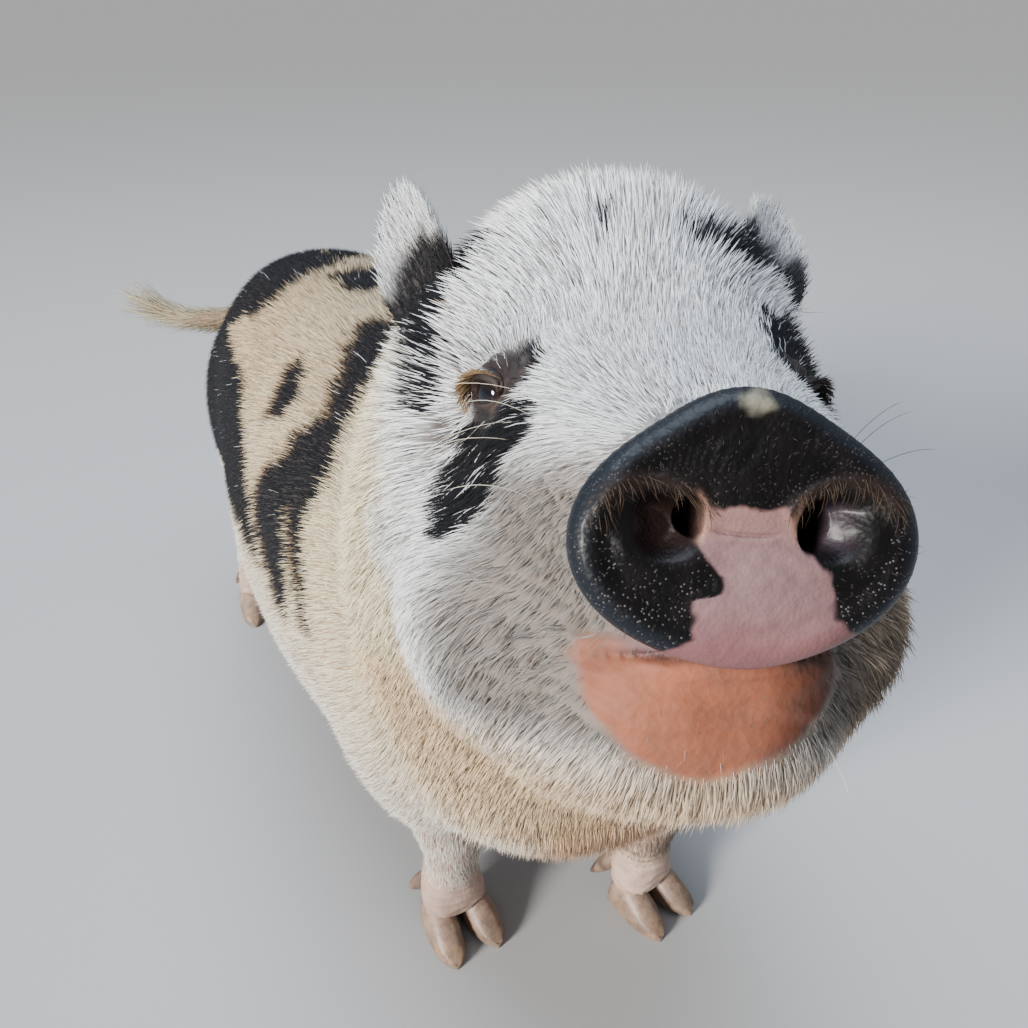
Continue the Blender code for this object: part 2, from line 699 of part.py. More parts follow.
def leg_block(foot, shrink, collection):
    """The block that holds a whole leg, smaller or larger than its plane by the given amount."""
    side = 1 if foot.endswith("left") else -1
    centre, size, turn = FORE_BLOCK if foot.startswith("front") else HIND_BLOCK
    middle = (side * centre.x, FEET[foot][1] + centre.y, centre.z)
    place = Matrix.Translation(middle) @ Matrix.Rotation(side * turn, 4, "Y")
    return box("block", (0, 0, 0), size - Vector((1, 1, 1)) * 2 * shrink, collection, place)


def parted_flesh(flesh, collection):
    """The flesh cut into head, neck, torso and legs, each a gap apart from the next."""
    point, normal = HEAD_CUT
    head, rest = parted(flesh, HEAD @ point, HEAD.to_3x3() @ normal, ("head", "rest"), collection)
    point, normal = NECK_CUT
    neck, torso = parted(rest, point, normal, ("neck", "torso"), collection)
    legs = {}
    for foot in FEET:
        inside = leg_block(foot, GAP / 2, collection)
        copy = object_from("copy", torso.data.copy(), collection)
        legs[foot] = combined(copy, [inside], "INTERSECT", "leg_" + foot, collection)
    blocks = [leg_block(foot, -GAP / 2, collection) for foot in FEET]
    torso = combined(torso, blocks, "DIFFERENCE", "torso", collection)
    return head, neck, torso, legs


def head_parts(head, collection):
    """The head with its sockets, mouth and ear roots cut, and the eyes, ears and snout beside it."""
    snout = combined(snout_disc(collection), nostril_cutters(collection), "DIFFERENCE", "snout", collection)
    face_point, face_normal = Vector((0, DISC_BACK, 0)), Vector((0, 1, 0))
    cut = sliced(head, HEAD @ face_point, HEAD.to_3x3() @ face_normal, "head", collection)
    discard(head)
    cutters = [mouth_cutter(cut, collection)]
    eyes, ears = [], []
    for side in (-1, 1):
        eyes.append(eyeball(side, collection))
        cutters.extend(eye_cutters(side, collection))
        ears.append(ear(side, collection))
        cutters.append(grown(ears[-1], GAP, collection))
    head = combined(cut, cutters, "DIFFERENCE", "head", collection)
    return head, snout, eyes, ears


def foot_parts(foot, leg, collection):
    """The leg with its claws' places cut, and its two hooves and two dewclaws."""
    claws = []
    for toe, which in ((-1, "right"), (1, "left")):
        claws.append(hoof(f"hoof_{foot}_{which}", foot, toe, collection))
        claws.append(dewclaw(f"dewclaw_{foot}_{which}", foot, toe, collection))
    cutters = [grown(claw, GAP, collection) for claw in claws]
    return combined(leg, cutters, "DIFFERENCE", leg.name, collection), claws


def finish(things, look):
    """Gives the things one material, smooth shading and their place over the origin."""
    for thing in things:
        thing.name = thing.name.split(".")[0]
        thing.data.name = thing.name
        thing.data.materials.clear()
        thing.data.materials.append(look)
        thing.data.transform(Matrix.Translation(BOX_SHIFT))
        thing.data.shade_smooth()
        thing.data.set_sharp_from_angle(angle=SHARP_ANGLE)


def main():
    clear_scene()
    pig = new_collection("pot_bellied_pig")
    flesh = thinned(whole_flesh(pig), pig)
    head, neck, torso, legs = parted_flesh(flesh, pig)
    head, snout, eyes, ears = head_parts(head, pig)
    claws = []
    for foot, leg in legs.items():
        legs[foot], made = foot_parts(foot, leg, pig)
        claws.extend(made)
    tassel = tail(pig)
    torso = combined(torso, [grown(tassel, GAP, pig)], "DIFFERENCE", "torso", pig)
    finish([head, *ears], material("white_coat", WHITE_COAT))
    finish([neck, torso, tassel, *legs.values()], material("coat", COAT))
    finish([snout], material("snout_skin", SNOUT_SKIN))
    finish(eyes, material("eye", EYE_GLASS))
    finish(claws, material("horn", HORN))


main()
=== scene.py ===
"""Looks for the Vietnamese pot-bellied pig: skin, coat, snout, eyes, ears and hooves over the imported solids.

Metres, +Z up. The pig faces -Y and its left side is +X. The head has a frame of its own: the origin is
midway between the eyes, -Y runs along the snout and +Z is up.
"""

import math

import bmesh
import bpy
import numpy as np
from mathutils import Matrix, Vector


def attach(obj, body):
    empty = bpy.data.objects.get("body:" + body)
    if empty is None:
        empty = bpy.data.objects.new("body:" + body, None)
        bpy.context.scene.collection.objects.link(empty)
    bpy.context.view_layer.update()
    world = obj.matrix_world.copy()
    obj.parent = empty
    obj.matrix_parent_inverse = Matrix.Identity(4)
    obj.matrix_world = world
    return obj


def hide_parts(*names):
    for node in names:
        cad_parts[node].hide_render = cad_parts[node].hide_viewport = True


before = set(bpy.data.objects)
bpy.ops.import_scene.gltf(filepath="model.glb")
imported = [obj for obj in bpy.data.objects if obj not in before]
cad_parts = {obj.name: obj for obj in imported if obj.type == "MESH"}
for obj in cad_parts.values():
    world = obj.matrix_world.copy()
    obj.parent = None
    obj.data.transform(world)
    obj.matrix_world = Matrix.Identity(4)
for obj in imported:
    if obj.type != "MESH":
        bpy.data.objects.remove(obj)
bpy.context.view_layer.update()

# Places shared with the solids
SHIFT = Vector((0.008355, -0.193045, 0.0))
HEAD = (
    Matrix.Translation(SHIFT + Vector((-0.0480, -0.0993, 0.4485)))
    @ Matrix.Rotation(math.radians(-23.8), 4, "Z")
    @ Matrix.Rotation(math.radians(-27.5), 4, "X")
    @ Matrix.Rotation(math.radians(3.2), 4, "Y")
)
HEAD_TURN = np.array(HEAD.to_3x3())
HEAD_AT = np.array(HEAD.translation)
CAMERA_AT = Vector((-0.23040, -0.34280, 0.58)) + SHIFT
CAMERA_LOOK = Vector((0.41113, 0.75721, -0.50754))
CAMERA_LENS = 33.443
FLOOR_HALF = 40.0

DISC_CENTRE = -0.0375
DISC_FRONT = -0.1195
DISC_WAVES = (0.0348, -0.0008, -0.0041, 0.0012, 0.0013)
EYE_AT = np.array([0.0462, -0.0055, 0.0005])
EYE_RADIUS = 0.0115
EYE_TURN = math.radians(53.0)
EYE_HALF = 0.0088
# Root, tip and the way its cup faces, of each ear in the head's frame
EARS = {
    "right": (Vector((-0.0620, 0.062, 0.030)), Vector((-0.0870, 0.082, 0.088)), Vector((-0.65, -0.76, 0.0))),
    "left": (Vector((0.0520, 0.062, 0.040)), Vector((0.0700, 0.085, 0.088)), Vector((0.42, -0.91, 0.0))),
}
EAR_WIDTH = 0.040
EAR_CUP = 0.012
EAR_BELLY = 0.005
# How far up the ear its black turns to white
EAR_BORDER = 0.50
FEET = {
    "front_right": (-0.0616, 0.0560, math.radians(2.0)),
    "front_left": (0.0616, 0.0110, math.radians(12.0)),
    "hind_right": (-0.0740, 0.4850, math.radians(-4.0)),
    "hind_left": (0.0740, 0.4700, math.radians(6.0)),
}
HOOF_STATIONS = [
    (0.0080, 0.0098, 0.0230),
    (-0.0040, 0.0112, 0.0270),
    (-0.0150, 0.0114, 0.0230),
    (-0.0240, 0.0104, 0.0172),
    (-0.0305, 0.0082, 0.0125),
    (-0.0350, 0.0052, 0.0085),
    (-0.0372, 0.0020, 0.0055),
]
HOOF_SPREAD = 0.0125
HOOF_MIDDLE = -0.012
TAIL_LINE = [
    (0.000, 0.470, 0.291, 0.0125),
    (-0.004, 0.505, 0.291, 0.0110),
    (-0.026, 0.530, 0.287, 0.0092),
    (-0.060, 0.553, 0.281, 0.0076),
    (-0.092, 0.574, 0.283, 0.0062),
    (-0.114, 0.589, 0.293, 0.0048),
]
FLESH = ["head", "neck", "torso", *("leg_" + foot for foot in FEET)]

SKIN_VOXEL = 0.0030
ROOT_DEPTH = 0.0004
# Hairs of the head from this length on have a bend
LONG_HAIR = 0.0098
# Side of a tuft's patch on the map, and the most triangles in a piece of coat
PATCH = 0.003
PIECE_TRIANGLES = 195000


def tint(*values):
    """A colour from its linear values."""
    return np.array(values)


# Colours of hair, skin, disc, eyes and claws
WHITE = tint(0.88, 0.88, 0.875)
CREAM = tint(0.62, 0.485, 0.305)
TAN = tint(0.36, 0.26, 0.16)
BLACK = tint(0.0048, 0.0048, 0.0062)
GREY_SKIN = tint(0.17, 0.145, 0.135)
DARK_SKIN = tint(0.018, 0.016, 0.017)
PINK = tint(0.56, 0.29, 0.235)
CHIN_PINK = tint(0.27, 0.092, 0.050)
SNOUT_PINK = tint(0.170, 0.098, 0.100)
# painted shade in the slit of the mouth
MOUTH_SLIT_SHADE = tint(0.075, 0.050, 0.045)
BEIGE = tint(0.70, 0.575, 0.385)
SHOULDER_CREAM = tint(0.88, 0.765, 0.515)
FLANK_CREAM = tint(0.90, 0.825, 0.640)
BRISKET_ORANGE = tint(0.66, 0.38, 0.21)
# brown of the far foreleg's hair, darkened with painted shade on the side away from the light
LEG_BROWN_AND_SHADE = tint(0.22, 0.150, 0.100)
JOWL_HAIR = tint(0.80, 0.56, 0.33)
MUZZLE_HAIR = tint(0.150, 0.122, 0.100)
TAIL_HAIR_DARK = tint(0.30, 0.235, 0.14)
LASH_GOLD = tint(0.165, 0.100, 0.045)
LASH_DARK = tint(0.045, 0.033, 0.026)
WHISKER_PALE = tint(0.66, 0.58, 0.44)
WHISKER_DARK = tint(0.035, 0.028, 0.025)
NOSTRIL_HAIR = tint(0.070, 0.044, 0.028)
DISC_HAIR = tint(0.060, 0.052, 0.050)
JOWL_SKIN = tint(0.34, 0.20, 0.125)
FOOT_SKIN = tint(0.42, 0.295, 0.235)
CHIN_SHADE = tint(0.060, 0.021, 0.013)
TEMPLE_SKIN = tint(0.075, 0.062, 0.058)
# dark skin round the eyes, partly painted shade of their hollows
SOCKET_SKIN_AND_SHADE = tint(0.014, 0.0115, 0.0115)
LID_SKIN = tint(0.017, 0.013, 0.012)
# painted shadow of the upper lid on the upper edge of the eye's opening
UPPER_LID_SHADOW = tint(0.016, 0.008, 0.006)
LOWER_RIM = tint(0.036, 0.023, 0.020)
DISC_BLACK = tint(0.0022, 0.0015, 0.0017)
# painted bluish reflection of the sky on the disc's rim
DISC_RIM_REFLECTION = tint(0.007, 0.009, 0.013)
PINK_ABOVE = tint(0.20, 0.108, 0.092)
PINK_BELOW = tint(0.160, 0.062, 0.064)
PINK_SHADE = tint(0.075, 0.034, 0.038)
NOSTRIL_RIGHT = tint(0.012, 0.0055, 0.0045)
NOSTRIL_LEFT = tint(0.050, 0.034, 0.045)
NOSTRIL_BROW = tint(0.022, 0.013, 0.010)
NOSTRIL_LIP = tint(0.25, 0.135, 0.095)
# painted shade deep in the nostril holes
NOSTRIL_HOLE_SHADE = tint(0.003, 0.0015, 0.0015)
DISC_SPOT = tint(0.17, 0.16, 0.12)
IRIS = tint(0.018, 0.009, 0.006)
PUPIL = tint(0.004, 0.004, 0.005)
IRIS_EDGE = tint(0.010, 0.006, 0.005)
EYE_WHITE = tint(0.016, 0.009, 0.0075)
HORN = tint(0.255, 0.165, 0.108)
HORN_DARK = tint(0.165, 0.115, 0.085)
HORN_WORN = tint(0.33, 0.25, 0.18)
HORN_TOP = tint(0.33, 0.225, 0.17)
SMALL_HORN = tint(0.19, 0.125, 0.085)
SMALL_HORN_DARK = tint(0.075, 0.05, 0.04)
TAIL_HAIR = tint(0.50, 0.42, 0.27)


# Small helpers


def unit(rows):
    return rows / np.maximum(np.linalg.norm(rows, axis=-1, keepdims=True), 1e-12)


def ramp(value, low, high):
    """0 below low, 1 above high and smooth between them."""
    t = np.clip((np.asarray(value, float) - low) / (high - low), 0, 1)
    return t * t * (3 - 2 * t)


def bell(value, middle, width):
    """1 at the middle, falling off to both sides."""
    return np.exp(-(((value - middle) / width) ** 2))


def mix(one, other, share):
    share = np.asarray(share)[..., None]
    return one * (1 - share) + other * share


def mix_number(one, other, share):
    return one * (1 - share) + other * share


def layered(colour, *layers):
    """The colour with others laid over it, each with its share."""
    for other, share in layers:
        colour = mix(colour, other, share)
    return colour


def along_skin(ways, normals):
    return ways - normals * (ways * normals).sum(1)[:, None]


def to_head(points):
    return (points - HEAD_AT) @ HEAD_TURN


def from_head(points):
    return points @ HEAD_TURN.T + HEAD_AT


def waves(points, size, seed, count=20):
    """Smooth noise, mostly between -1 and 1, whose lumps are about the given size across."""
    draw = np.random.default_rng(seed)
    ways = unit(draw.normal(size=(count, 3))) * draw.uniform(0.6, 1.5, (count, 1)) * math.pi / size
    phase = draw.uniform(0, math.tau, count)
    return np.sin(points @ ways.T + phase).sum(1) / math.sqrt(count)


def chain(points, balls):
    """How far inside a chain of balls each point lies: 1 on its middle line, 0 at its edge."""
    best = np.full(len(points), -9.0)
    balls = np.array(balls, float)
    for start, end in zip(balls, balls[1:]):
        along = end[:3] - start[:3]
        t = np.clip((points - start[:3]) @ along / (along @ along), 0, 1)
        away = np.linalg.norm(points - start[:3] - t[:, None] * along, axis=1)
        best = np.maximum(best, 1 - away / (start[3] + (end[3] - start[3]) * t))
    return best


def between(before, start, end, after, t):
    return 0.5 * (
        2 * start
        + (end - before) * t
        + (2 * before - 5 * start + 4 * end - after) * t * t
        + (3 * start - before - 3 * end + after) * t**3
    )


def eased(rows, steps):
    """The rows with smoothly interpolated rows set between them."""
    rows = np.array(rows, float)
    padded = np.vstack([2 * rows[0] - rows[1], rows, 2 * rows[-1] - rows[-2]])
    made = [between(*padded[i : i + 4], step / steps) for i in range(len(rows) - 1) for step in range(steps)]
    return np.array([*made, rows[-1]])


def mesh_array(items, name, width, kind):
    """One measure of a mesh's points, edges or triangles, as rows."""
    values = np.empty(len(items) * width, kind)
    items.foreach_get(name, values)
    return values.reshape(-1, width)


def mesh_points(mesh):
    return mesh_array(mesh.vertices, "co", 3, float)


def mesh_normals(mesh):
    return mesh_array(mesh.vertices, "normal", 3, np.float32).astype(float)


def mesh_ends(mesh):
    return mesh_array(mesh.edges, "vertices", 2, np.int32)


def mesh_triangles(mesh):
    mesh.calc_loop_triangles()
    return mesh_array(mesh.loop_triangles, "vertices", 3, np.int32)


def set_points(mesh, points):
    mesh.vertices.foreach_set("co", points.ravel())
    mesh.update()


def paint(mesh, colours):
    """A colour for each point of the mesh."""
    layer = mesh.attributes.new("tint", "FLOAT_COLOR", "POINT")
    full = np.ones((len(mesh.vertices), 4), np.float32)
    full[:, :3] = colours
    layer.data.foreach_set("color", full.ravel())


def note(mesh, name, values):
    """A number for each point of the mesh."""
    layer = mesh.attributes.new(name, "FLOAT", "POINT")
    layer.data.foreach_set("value", np.asarray(values, np.float32))


def linked(name, data):
    """A new object in the scene."""
    made = bpy.data.objects.new(name, data)
    bpy.context.scene.collection.objects.link(made)
    return made


def object_from(name, mesh, look):
    mesh.materials.clear()
    mesh.materials.append(look)
    return linked(name, mesh)


def reworked(mesh, work):
    """Runs the work on an editable copy of the mesh and stores the result in the mesh."""
    build = bmesh.new()
    build.from_mesh(mesh)
    work(build)
    build.to_mesh(mesh)
    build.free()


def mesh_from_arrays(name, points, quads, triangles=None):
    """A smooth-shaded mesh of quads and triangles."""
    mesh = bpy.data.meshes.new(name)
    quads = np.asarray(quads, np.int32).reshape(-1, 4)
    triangles = np.asarray([] if triangles is None else triangles, np.int32).reshape(-1, 3)
    loops = np.concatenate([quads.ravel(), triangles.ravel()])
    starts = np.concatenate([np.arange(len(quads)) * 4, len(quads) * 4 + np.arange(len(triangles)) * 3])
    mesh.vertices.add(len(points))
    mesh.vertices.foreach_set("co", np.asarray(points, np.float32).ravel())
    mesh.loops.add(len(loops))
    mesh.loops.foreach_set("vertex_index", loops)
    mesh.polygons.add(len(starts))
    mesh.polygons.foreach_set("loop_start", starts.astype(np.int32))
    mesh.polygons.foreach_set("use_smooth", np.ones(len(starts), bool))
    mesh.update(calc_edges=True)
    return mesh


def grid_quads(rows, columns):
    """The quads of a grid of points whose columns run round."""
    i, j = np.meshgrid(np.arange(rows - 1), np.arange(columns), indexing="ij")
    after = (j + 1) % columns
    corners = [i * columns + j, i * columns + after, (i + 1) * columns + after, (i + 1) * columns + j]
    return np.stack(corners, axis=-1).reshape(-1, 4)


def smoothed(points, ends, weight, rounds):
    """The points after being drawn to the middle of their neighbours."""
    near, far = ends.T
    count = len(points)
    shared = np.maximum(np.bincount(near, minlength=count) + np.bincount(far, minlength=count), 1)
    weight = np.broadcast_to(weight, (count,))[:, None]
    for _ in range(rounds):
        total = [np.bincount(near, c[far], count) + np.bincount(far, c[near], count) for c in points.T]
        points = points + weight * (np.stack(total, axis=1) / shared[:, None] - points)
    return points


# Materials


def shader_of(name, roughness, specular, **others):
    """A material, its node tree and its shader; the names of other inputs have _ for a space."""
    look = bpy.data.materials.new(name)
    look.use_nodes = True
    shader = look.node_tree.nodes["Principled BSDF"]
    for key, value in {"Roughness": roughness, "Specular_IOR_Level": specular, **others}.items():
        shader.inputs[key.replace("_", " ")].default_value = value
    return look, look.node_tree, shader


def attribute(tree, name, output):
    node = tree.nodes.new("ShaderNodeAttribute")
    node.attribute_name = name
    return node.outputs[output]


def repaint(tree, shader, colour):
    tree.links.new(colour, shader.inputs["Base Color"])


def painted(tree, shader):
    """Feeds the shader's colour from the colours painted on the points."""
    colour = attribute(tree, "tint", "Color")
    repaint(tree, shader, colour)
    return colour


def texture(tree, kind, output, **inputs):
    """A texture in the object's own space."""
    place = tree.nodes.new("ShaderNodeTexCoord")
    made = tree.nodes.new(kind)
    for key, value in inputs.items():
        made.inputs[key].default_value = value
    tree.links.new(place.outputs["Object"], made.inputs["Vector"])
    return made.outputs[output]


def noise(tree, scale, detail=3.0, roughness=0.55):
    return texture(tree, "ShaderNodeTexNoise", "Fac", Scale=scale, Detail=detail, Roughness=roughness)


def cells(tree, scale):
    return texture(tree, "ShaderNodeTexVoronoi", "Distance", Scale=scale)


def blend_colour(tree, factor, first, second):
    node = tree.nodes.new("ShaderNodeMix")
    node.data_type = "RGBA"
    tree.links.new(factor, node.inputs["Factor"])
    for value, socket in ((first, node.inputs[6]), (second, node.inputs[7])):
        if isinstance(value, tuple):
            socket.default_value = (*value, 1.0)
        else:
            tree.links.new(value, socket)
    return node.outputs[2]


def mapped(tree, value, low, high, out_low=0.0, out_high=1.0):
    node = tree.nodes.new("ShaderNodeMapRange")
    node.interpolation_type = "SMOOTHSTEP"
    for name, setting in (("From Min", low), ("From Max", high), ("To Min", out_low), ("To Max", out_high)):
        node.inputs[name].default_value = setting
    tree.links.new(value, node.inputs["Value"])
    return node.outputs["Result"]


def times(tree, one, other):
    """The product of a socket and a number or another socket."""
    node = tree.nodes.new("ShaderNodeMath")
    node.operation = "MULTIPLY"
    tree.links.new(one, node.inputs[0])
    if isinstance(other, float):
        node.inputs[1].default_value = other
    else:
        tree.links.new(other, node.inputs[1])
    return node.outputs[0]


def bumped(tree, shader, heights, distance=0.001):
    """Chains bumps of the given heights and strengths into the shader's normal."""
    normal = None
    for height, strength in heights:
        bump = tree.nodes.new("ShaderNodeBump")
        bump.inputs["Strength"].default_value = strength
        bump.inputs["Distance"].default_value = distance
        tree.links.new(height, bump.inputs["Height"])
        if normal is not None:
            tree.links.new(normal, bump.inputs["Normal"])
        normal = bump.outputs["Normal"]
    tree.links.new(normal, shader.inputs["Normal"])


def skin_look():
    look, tree, shader = shader_of("pig_skin", 0.62, 0.20, Subsurface_Weight=0.08,
                                   Subsurface_Radius=(0.008, 0.003, 0.0015))
    freckle = times(tree, mapped(tree, noise(tree, 90.0, 4.0), 0.40, 0.72), 0.30)
    repaint(tree, shader, blend_colour(tree, freckle, painted(tree, shader), (0.10, 0.07, 0.06)))
    bumped(tree, shader, [(cells(tree, 420.0), 0.35), (noise(tree, 900.0), 0.25)], 0.0006)
    return look


def snout_look():
    look, tree, shader = shader_of("snout", 0.46, 0.15, Coat_Weight=0.06, Coat_Roughness=0.16,
                                   Subsurface_Weight=0.05, Subsurface_Radius=(0.006, 0.002, 0.001))
    dots = mapped(tree, cells(tree, 900.0), 0.16, 0.27, 1.0, 0.0)
    dots = times(tree, dots, attribute(tree, "dots", "Fac"))
    dots = times(tree, dots, mapped(tree, noise(tree, 150.0), 0.35, 0.62, 0.25, 1.0))
    repaint(tree, shader, blend_colour(tree, dots, painted(tree, shader), (0.085, 0.075, 0.078)))
    bumped(tree, shader, [(cells(tree, 900.0), 0.25), (noise(tree, 1300.0), 0.18)], 0.0005)
    return look


def coat_look():
    look, tree, shader = shader_of("pig_coat", 0.60, 0.16)
    painted(tree, shader)
    return look


def eye_look():
    look, tree, shader = shader_of("pig_eye", 0.07, 0.30, Coat_Weight=0.6, Coat_Roughness=0.02,
                                   Coat_Tint=(0.60, 0.75, 1.0, 1.0))
    painted(tree, shader)
    return look


def horn_look():
    look, tree, shader = shader_of("pig_horn", 0.46, 0.4)
    streak = times(tree, mapped(tree, noise(tree, 160.0, 5.0, 0.7), 0.42, 0.66), 0.45)
    repaint(tree, shader, blend_colour(tree, streak, painted(tree, shader), (0.055, 0.035, 0.025)))
    bumped(tree, shader, [(noise(tree, 420.0, 4.0), 0.35)], 0.0008)
    return look


def floor_look():
    return shader_of("pale_floor", 0.85, 0.2, Base_Color=(0.37, 0.37, 0.375, 1.0))[0]


# Markings, shared by the skin and the coat

# Patches of the body as outlines: place along y, and degrees from the top of the back down the right side
RIGHT_PATCHES = [
    # the rump
    [(0.167, -6), (0.160, 2), (0.150, 15), (0.160, 31), (0.208, 39), (0.178, 44), (0.112, 49), (0.067, 57),
     (0.038, 65), (0.010, 73), (-0.008, 80), (-0.014, 86), (0.020, 88), (0.070, 89), (0.130, 96),
     (0.200, 106), (0.260, 112), (0.400, 118), (0.400, -6)],
    # the forked band behind the shoulder
    [(0.030, 6), (0.022, 14), (-0.009, 23), (-0.040, 33), (-0.034, 45), (-0.007, 56), (0.005, 66),
     (0.000, 73), (-0.020, 80), (-0.045, 86), (-0.062, 88), (-0.072, 84), (-0.078, 77), (-0.069, 69),
     (-0.054, 60), (-0.080, 69), (-0.094, 77), (-0.104, 83), (-0.112, 79), (-0.100, 70), (-0.092, 61),
     (-0.092, 51), (-0.091, 41), (-0.074, 32), (-0.055, 22), (-0.034, 12), (-0.010, 3)],
    # the small slanting patch
    [(0.036, 31), (0.042, 36), (0.036, 42), (0.030, 48), (0.014, 46), (0.006, 41), (0.009, 35),
     (0.022, 31)],
]
LEFT_PATCHES = [
    # across the spine
    [(0.142, 4), (0.142, -14), (0.150, -34), (0.110, -48), (0.078, -36), (0.086, -12), (0.090, 4)],
    # behind the shoulder
    [(0.000, -8), (-0.004, -30), (0.024, -52), (0.050, -74), (0.020, -92), (-0.040, -90), (-0.075, -66),
     (-0.085, -40), (-0.060, -20)],
    # the hip and rump
    [(0.162, -4), (0.200, -20), (0.196, -44), (0.150, -64), (0.140, -88), (0.200, -104), (0.400, -110),
     (0.400, -4)],
]
# Patches of the right side of the face, in the head's frame: y and z
FACE_PATCHES = [
    [(-0.012, -0.0040), (-0.036, -0.0030), (-0.055, -0.0060), (-0.064, -0.0140), (-0.054, -0.0250),
     (-0.048, -0.0310), (-0.044, -0.0380), (-0.045, -0.0450), (-0.034, -0.0470), (-0.002, -0.0385),
     (0.009, -0.0270), (0.006, -0.0190), (-0.004, -0.0130)],
    [(0.072, 0.064), (0.058, 0.067), (0.052, 0.056), (0.041, 0.040), (0.038, 0.029), (0.030, 0.019),
     (0.021, 0.002), (0.020, -0.009), (0.031, -0.004), (0.050, 0.020), (0.067, 0.042)],
]
# Patches on top of the head as chains of balls: centre, radius
CROWN_PATCHES = [
    [(-0.0125, 0.009, 0.060, 0.0070), (-0.0100, 0.017, 0.066, 0.0070)],
    [(-0.0620, 0.044, 0.053, 0.0130), (-0.0540, 0.044, 0.062, 0.0120)],
    [(0.0210, 0.011, 0.058, 0.0080), (0.0370, 0.019, 0.056, 0.0110), (0.0560, 0.045, 0.062, 0.0120),
     (0.0760, 0.072, 0.064, 0.0150)],
    [(0.0420, -0.028, 0.006, 0.0110), (0.0500, -0.004, 0.016, 0.0170), (0.0660, 0.026, 0.016, 0.0190),
     (0.0780, 0.050, 0.010, 0.0160)],
]
GIRTH = 0.125
TRUNK_HEIGHT = 0.24


def outline_margin(u, v, corners):
    """How far inside an outline each place is; negative outside it."""
    corners = np.array(corners, float)
    place = np.stack([u, v], axis=1)
    nearest = np.full(len(place), 9.0)
    inside = np.zeros(len(place), bool)
    for start, end in zip(corners, np.roll(corners, -1, axis=0)):
        along = end - start
        t = np.clip((place - start) @ along / (along @ along), 0, 1)
        nearest = np.minimum(nearest, np.linalg.norm(place - start - t[:, None] * along, axis=1))
        crosses = (start[1] > v) != (end[1] > v)
        rise = along[1] if along[1] else 1e-12
        inside ^= crosses & (u < start[0] + (v - start[1]) * along[0] / rise)
    return np.where(inside, nearest, -nearest)


def girth_place(points):
    """Degrees from the top of the back down the right side, as metres round the body."""
    return np.arctan2(-points[:, 0], points[:, 2] - TRUNK_HEIGHT) * GIRTH


def head_share(points):
    """1 on the head, falling to 0 over the neck."""
    local = to_head(points)
    return ramp(-local[:, 1] - 0.25 * local[:, 2], -0.115, -0.055) * (points[:, 2] > 0.22)


def blackness(points):
    """1 on the black patches, with edges as ragged as the hair makes them."""
    near = points + 0.0040 * waves(points, 0.024, 3)[:, None] * [0.5, 1.0, 0.8]
    around = girth_place(near)
    body = np.full(len(points), -1.0)
    for outline in RIGHT_PATCHES + LEFT_PATCHES:
        flat = [(y, math.radians(angle) * GIRTH) for y, angle in outline]
        body = np.maximum(body, outline_margin(near[:, 1], around, flat))
    body = ramp(body + 0.0020 * waves(points, 0.010, 5), -0.0105, 0.0085)
    local = to_head(points)
    bent = local + 0.0012 * waves(local, 0.010, 4)[:, None]
    face = np.full(len(points), -1.0)
    for outline in FACE_PATCHES:
        face = np.maximum(face, outline_margin(bent[:, 1], bent[:, 2], outline))
    face = np.where(local[:, 0] < -0.030, face, -1.0)
    face = ramp(face + 0.0010 * waves(local, 0.006, 8), -0.0018, 0.0022)
    for balls in CROWN_PATCHES:
        face = np.maximum(face, ramp(chain(bent, balls) + 0.16 * waves(local, 0.008, 6), -0.15, 0.30))
    head = head_share(points)
    return np.where(head > 0.5, face, body)


def chin_share(local):
    """1 on the bare shield of the chin: as wide as the mouth above, rounded off below."""
    x, y, z = local.T
    drop = np.clip(-z - 0.070, 0, 0.05)
    middle = 0.0005 - 0.10 * drop
    away = np.hypot((x - middle) / (0.0355 - 0.22 * drop), (z + 0.0735) / 0.0290)
    away = away + 0.035 * waves(local, 0.010, 14)
    return ramp(-away, -1.05, -0.90) * ramp(-z, 0.064, 0.068) * ramp(-y, 0.062, 0.075)


def eye_frame(side):
    """The centre of an eye and its three directions: to the inner corner, up, and out of the face."""
    gaze = unit(np.array([math.sin(EYE_TURN) * side, -math.cos(EYE_TURN), -0.14]))
    up = unit(np.array([0.0, 0.0, 1.0]) - gaze * gaze[2])
    return EYE_AT * [side, 1, 1], np.cross(gaze, up) * side, up, gaze


def eye_place(local, side):
    """Place of points along and across an eye's opening, depth, and distance from the eye's centre."""
    centre, inner, up, gaze = eye_frame(side)
    away = local - centre
    return away @ inner, away @ up, away @ gaze, np.linalg.norm(away, axis=1)


def eye_distance(local):
    return np.minimum(eye_place(local, -1)[3], eye_place(local, 1)[3])


def round_eyes(local, reach, low, high):
    """1 round both eyes, where reach gives how far out a place along and across the opening is."""
    total = np.zeros(len(local))
    for side in (-1, 1):
        along, across, _, _ = eye_place(local, side)
        share = ramp(-reach(along, across), low, high) * (local[:, 0] * side > 0.02)
        total = np.maximum(total, share)
    return total


def eye_bare(local):
    """1 on the bare wrinkled skin round the eyes, more of it above and before them."""
    return round_eyes(local, lambda u, v: np.hypot((u - 0.004) / 0.020, (v - 0.002) / 0.013), -1.25, -0.75)


def socket_share(local):
    """1 on the dark hollow that runs from the inner corner of each eye round below it: dark skin and hair,
    partly painted shade of the hollow.
    """
    def reach(along, across):
        before = np.hypot((along - 0.0165) / 0.0140, (across - 0.0015) / 0.0115)
        below = np.hypot((along - 0.0010) / 0.0175, (across + 0.0105) / 0.0100)
        return np.minimum(before, below) + 0.12 * waves(local, 0.006, 16)
    return round_eyes(local, reach, -1.20, -0.70)


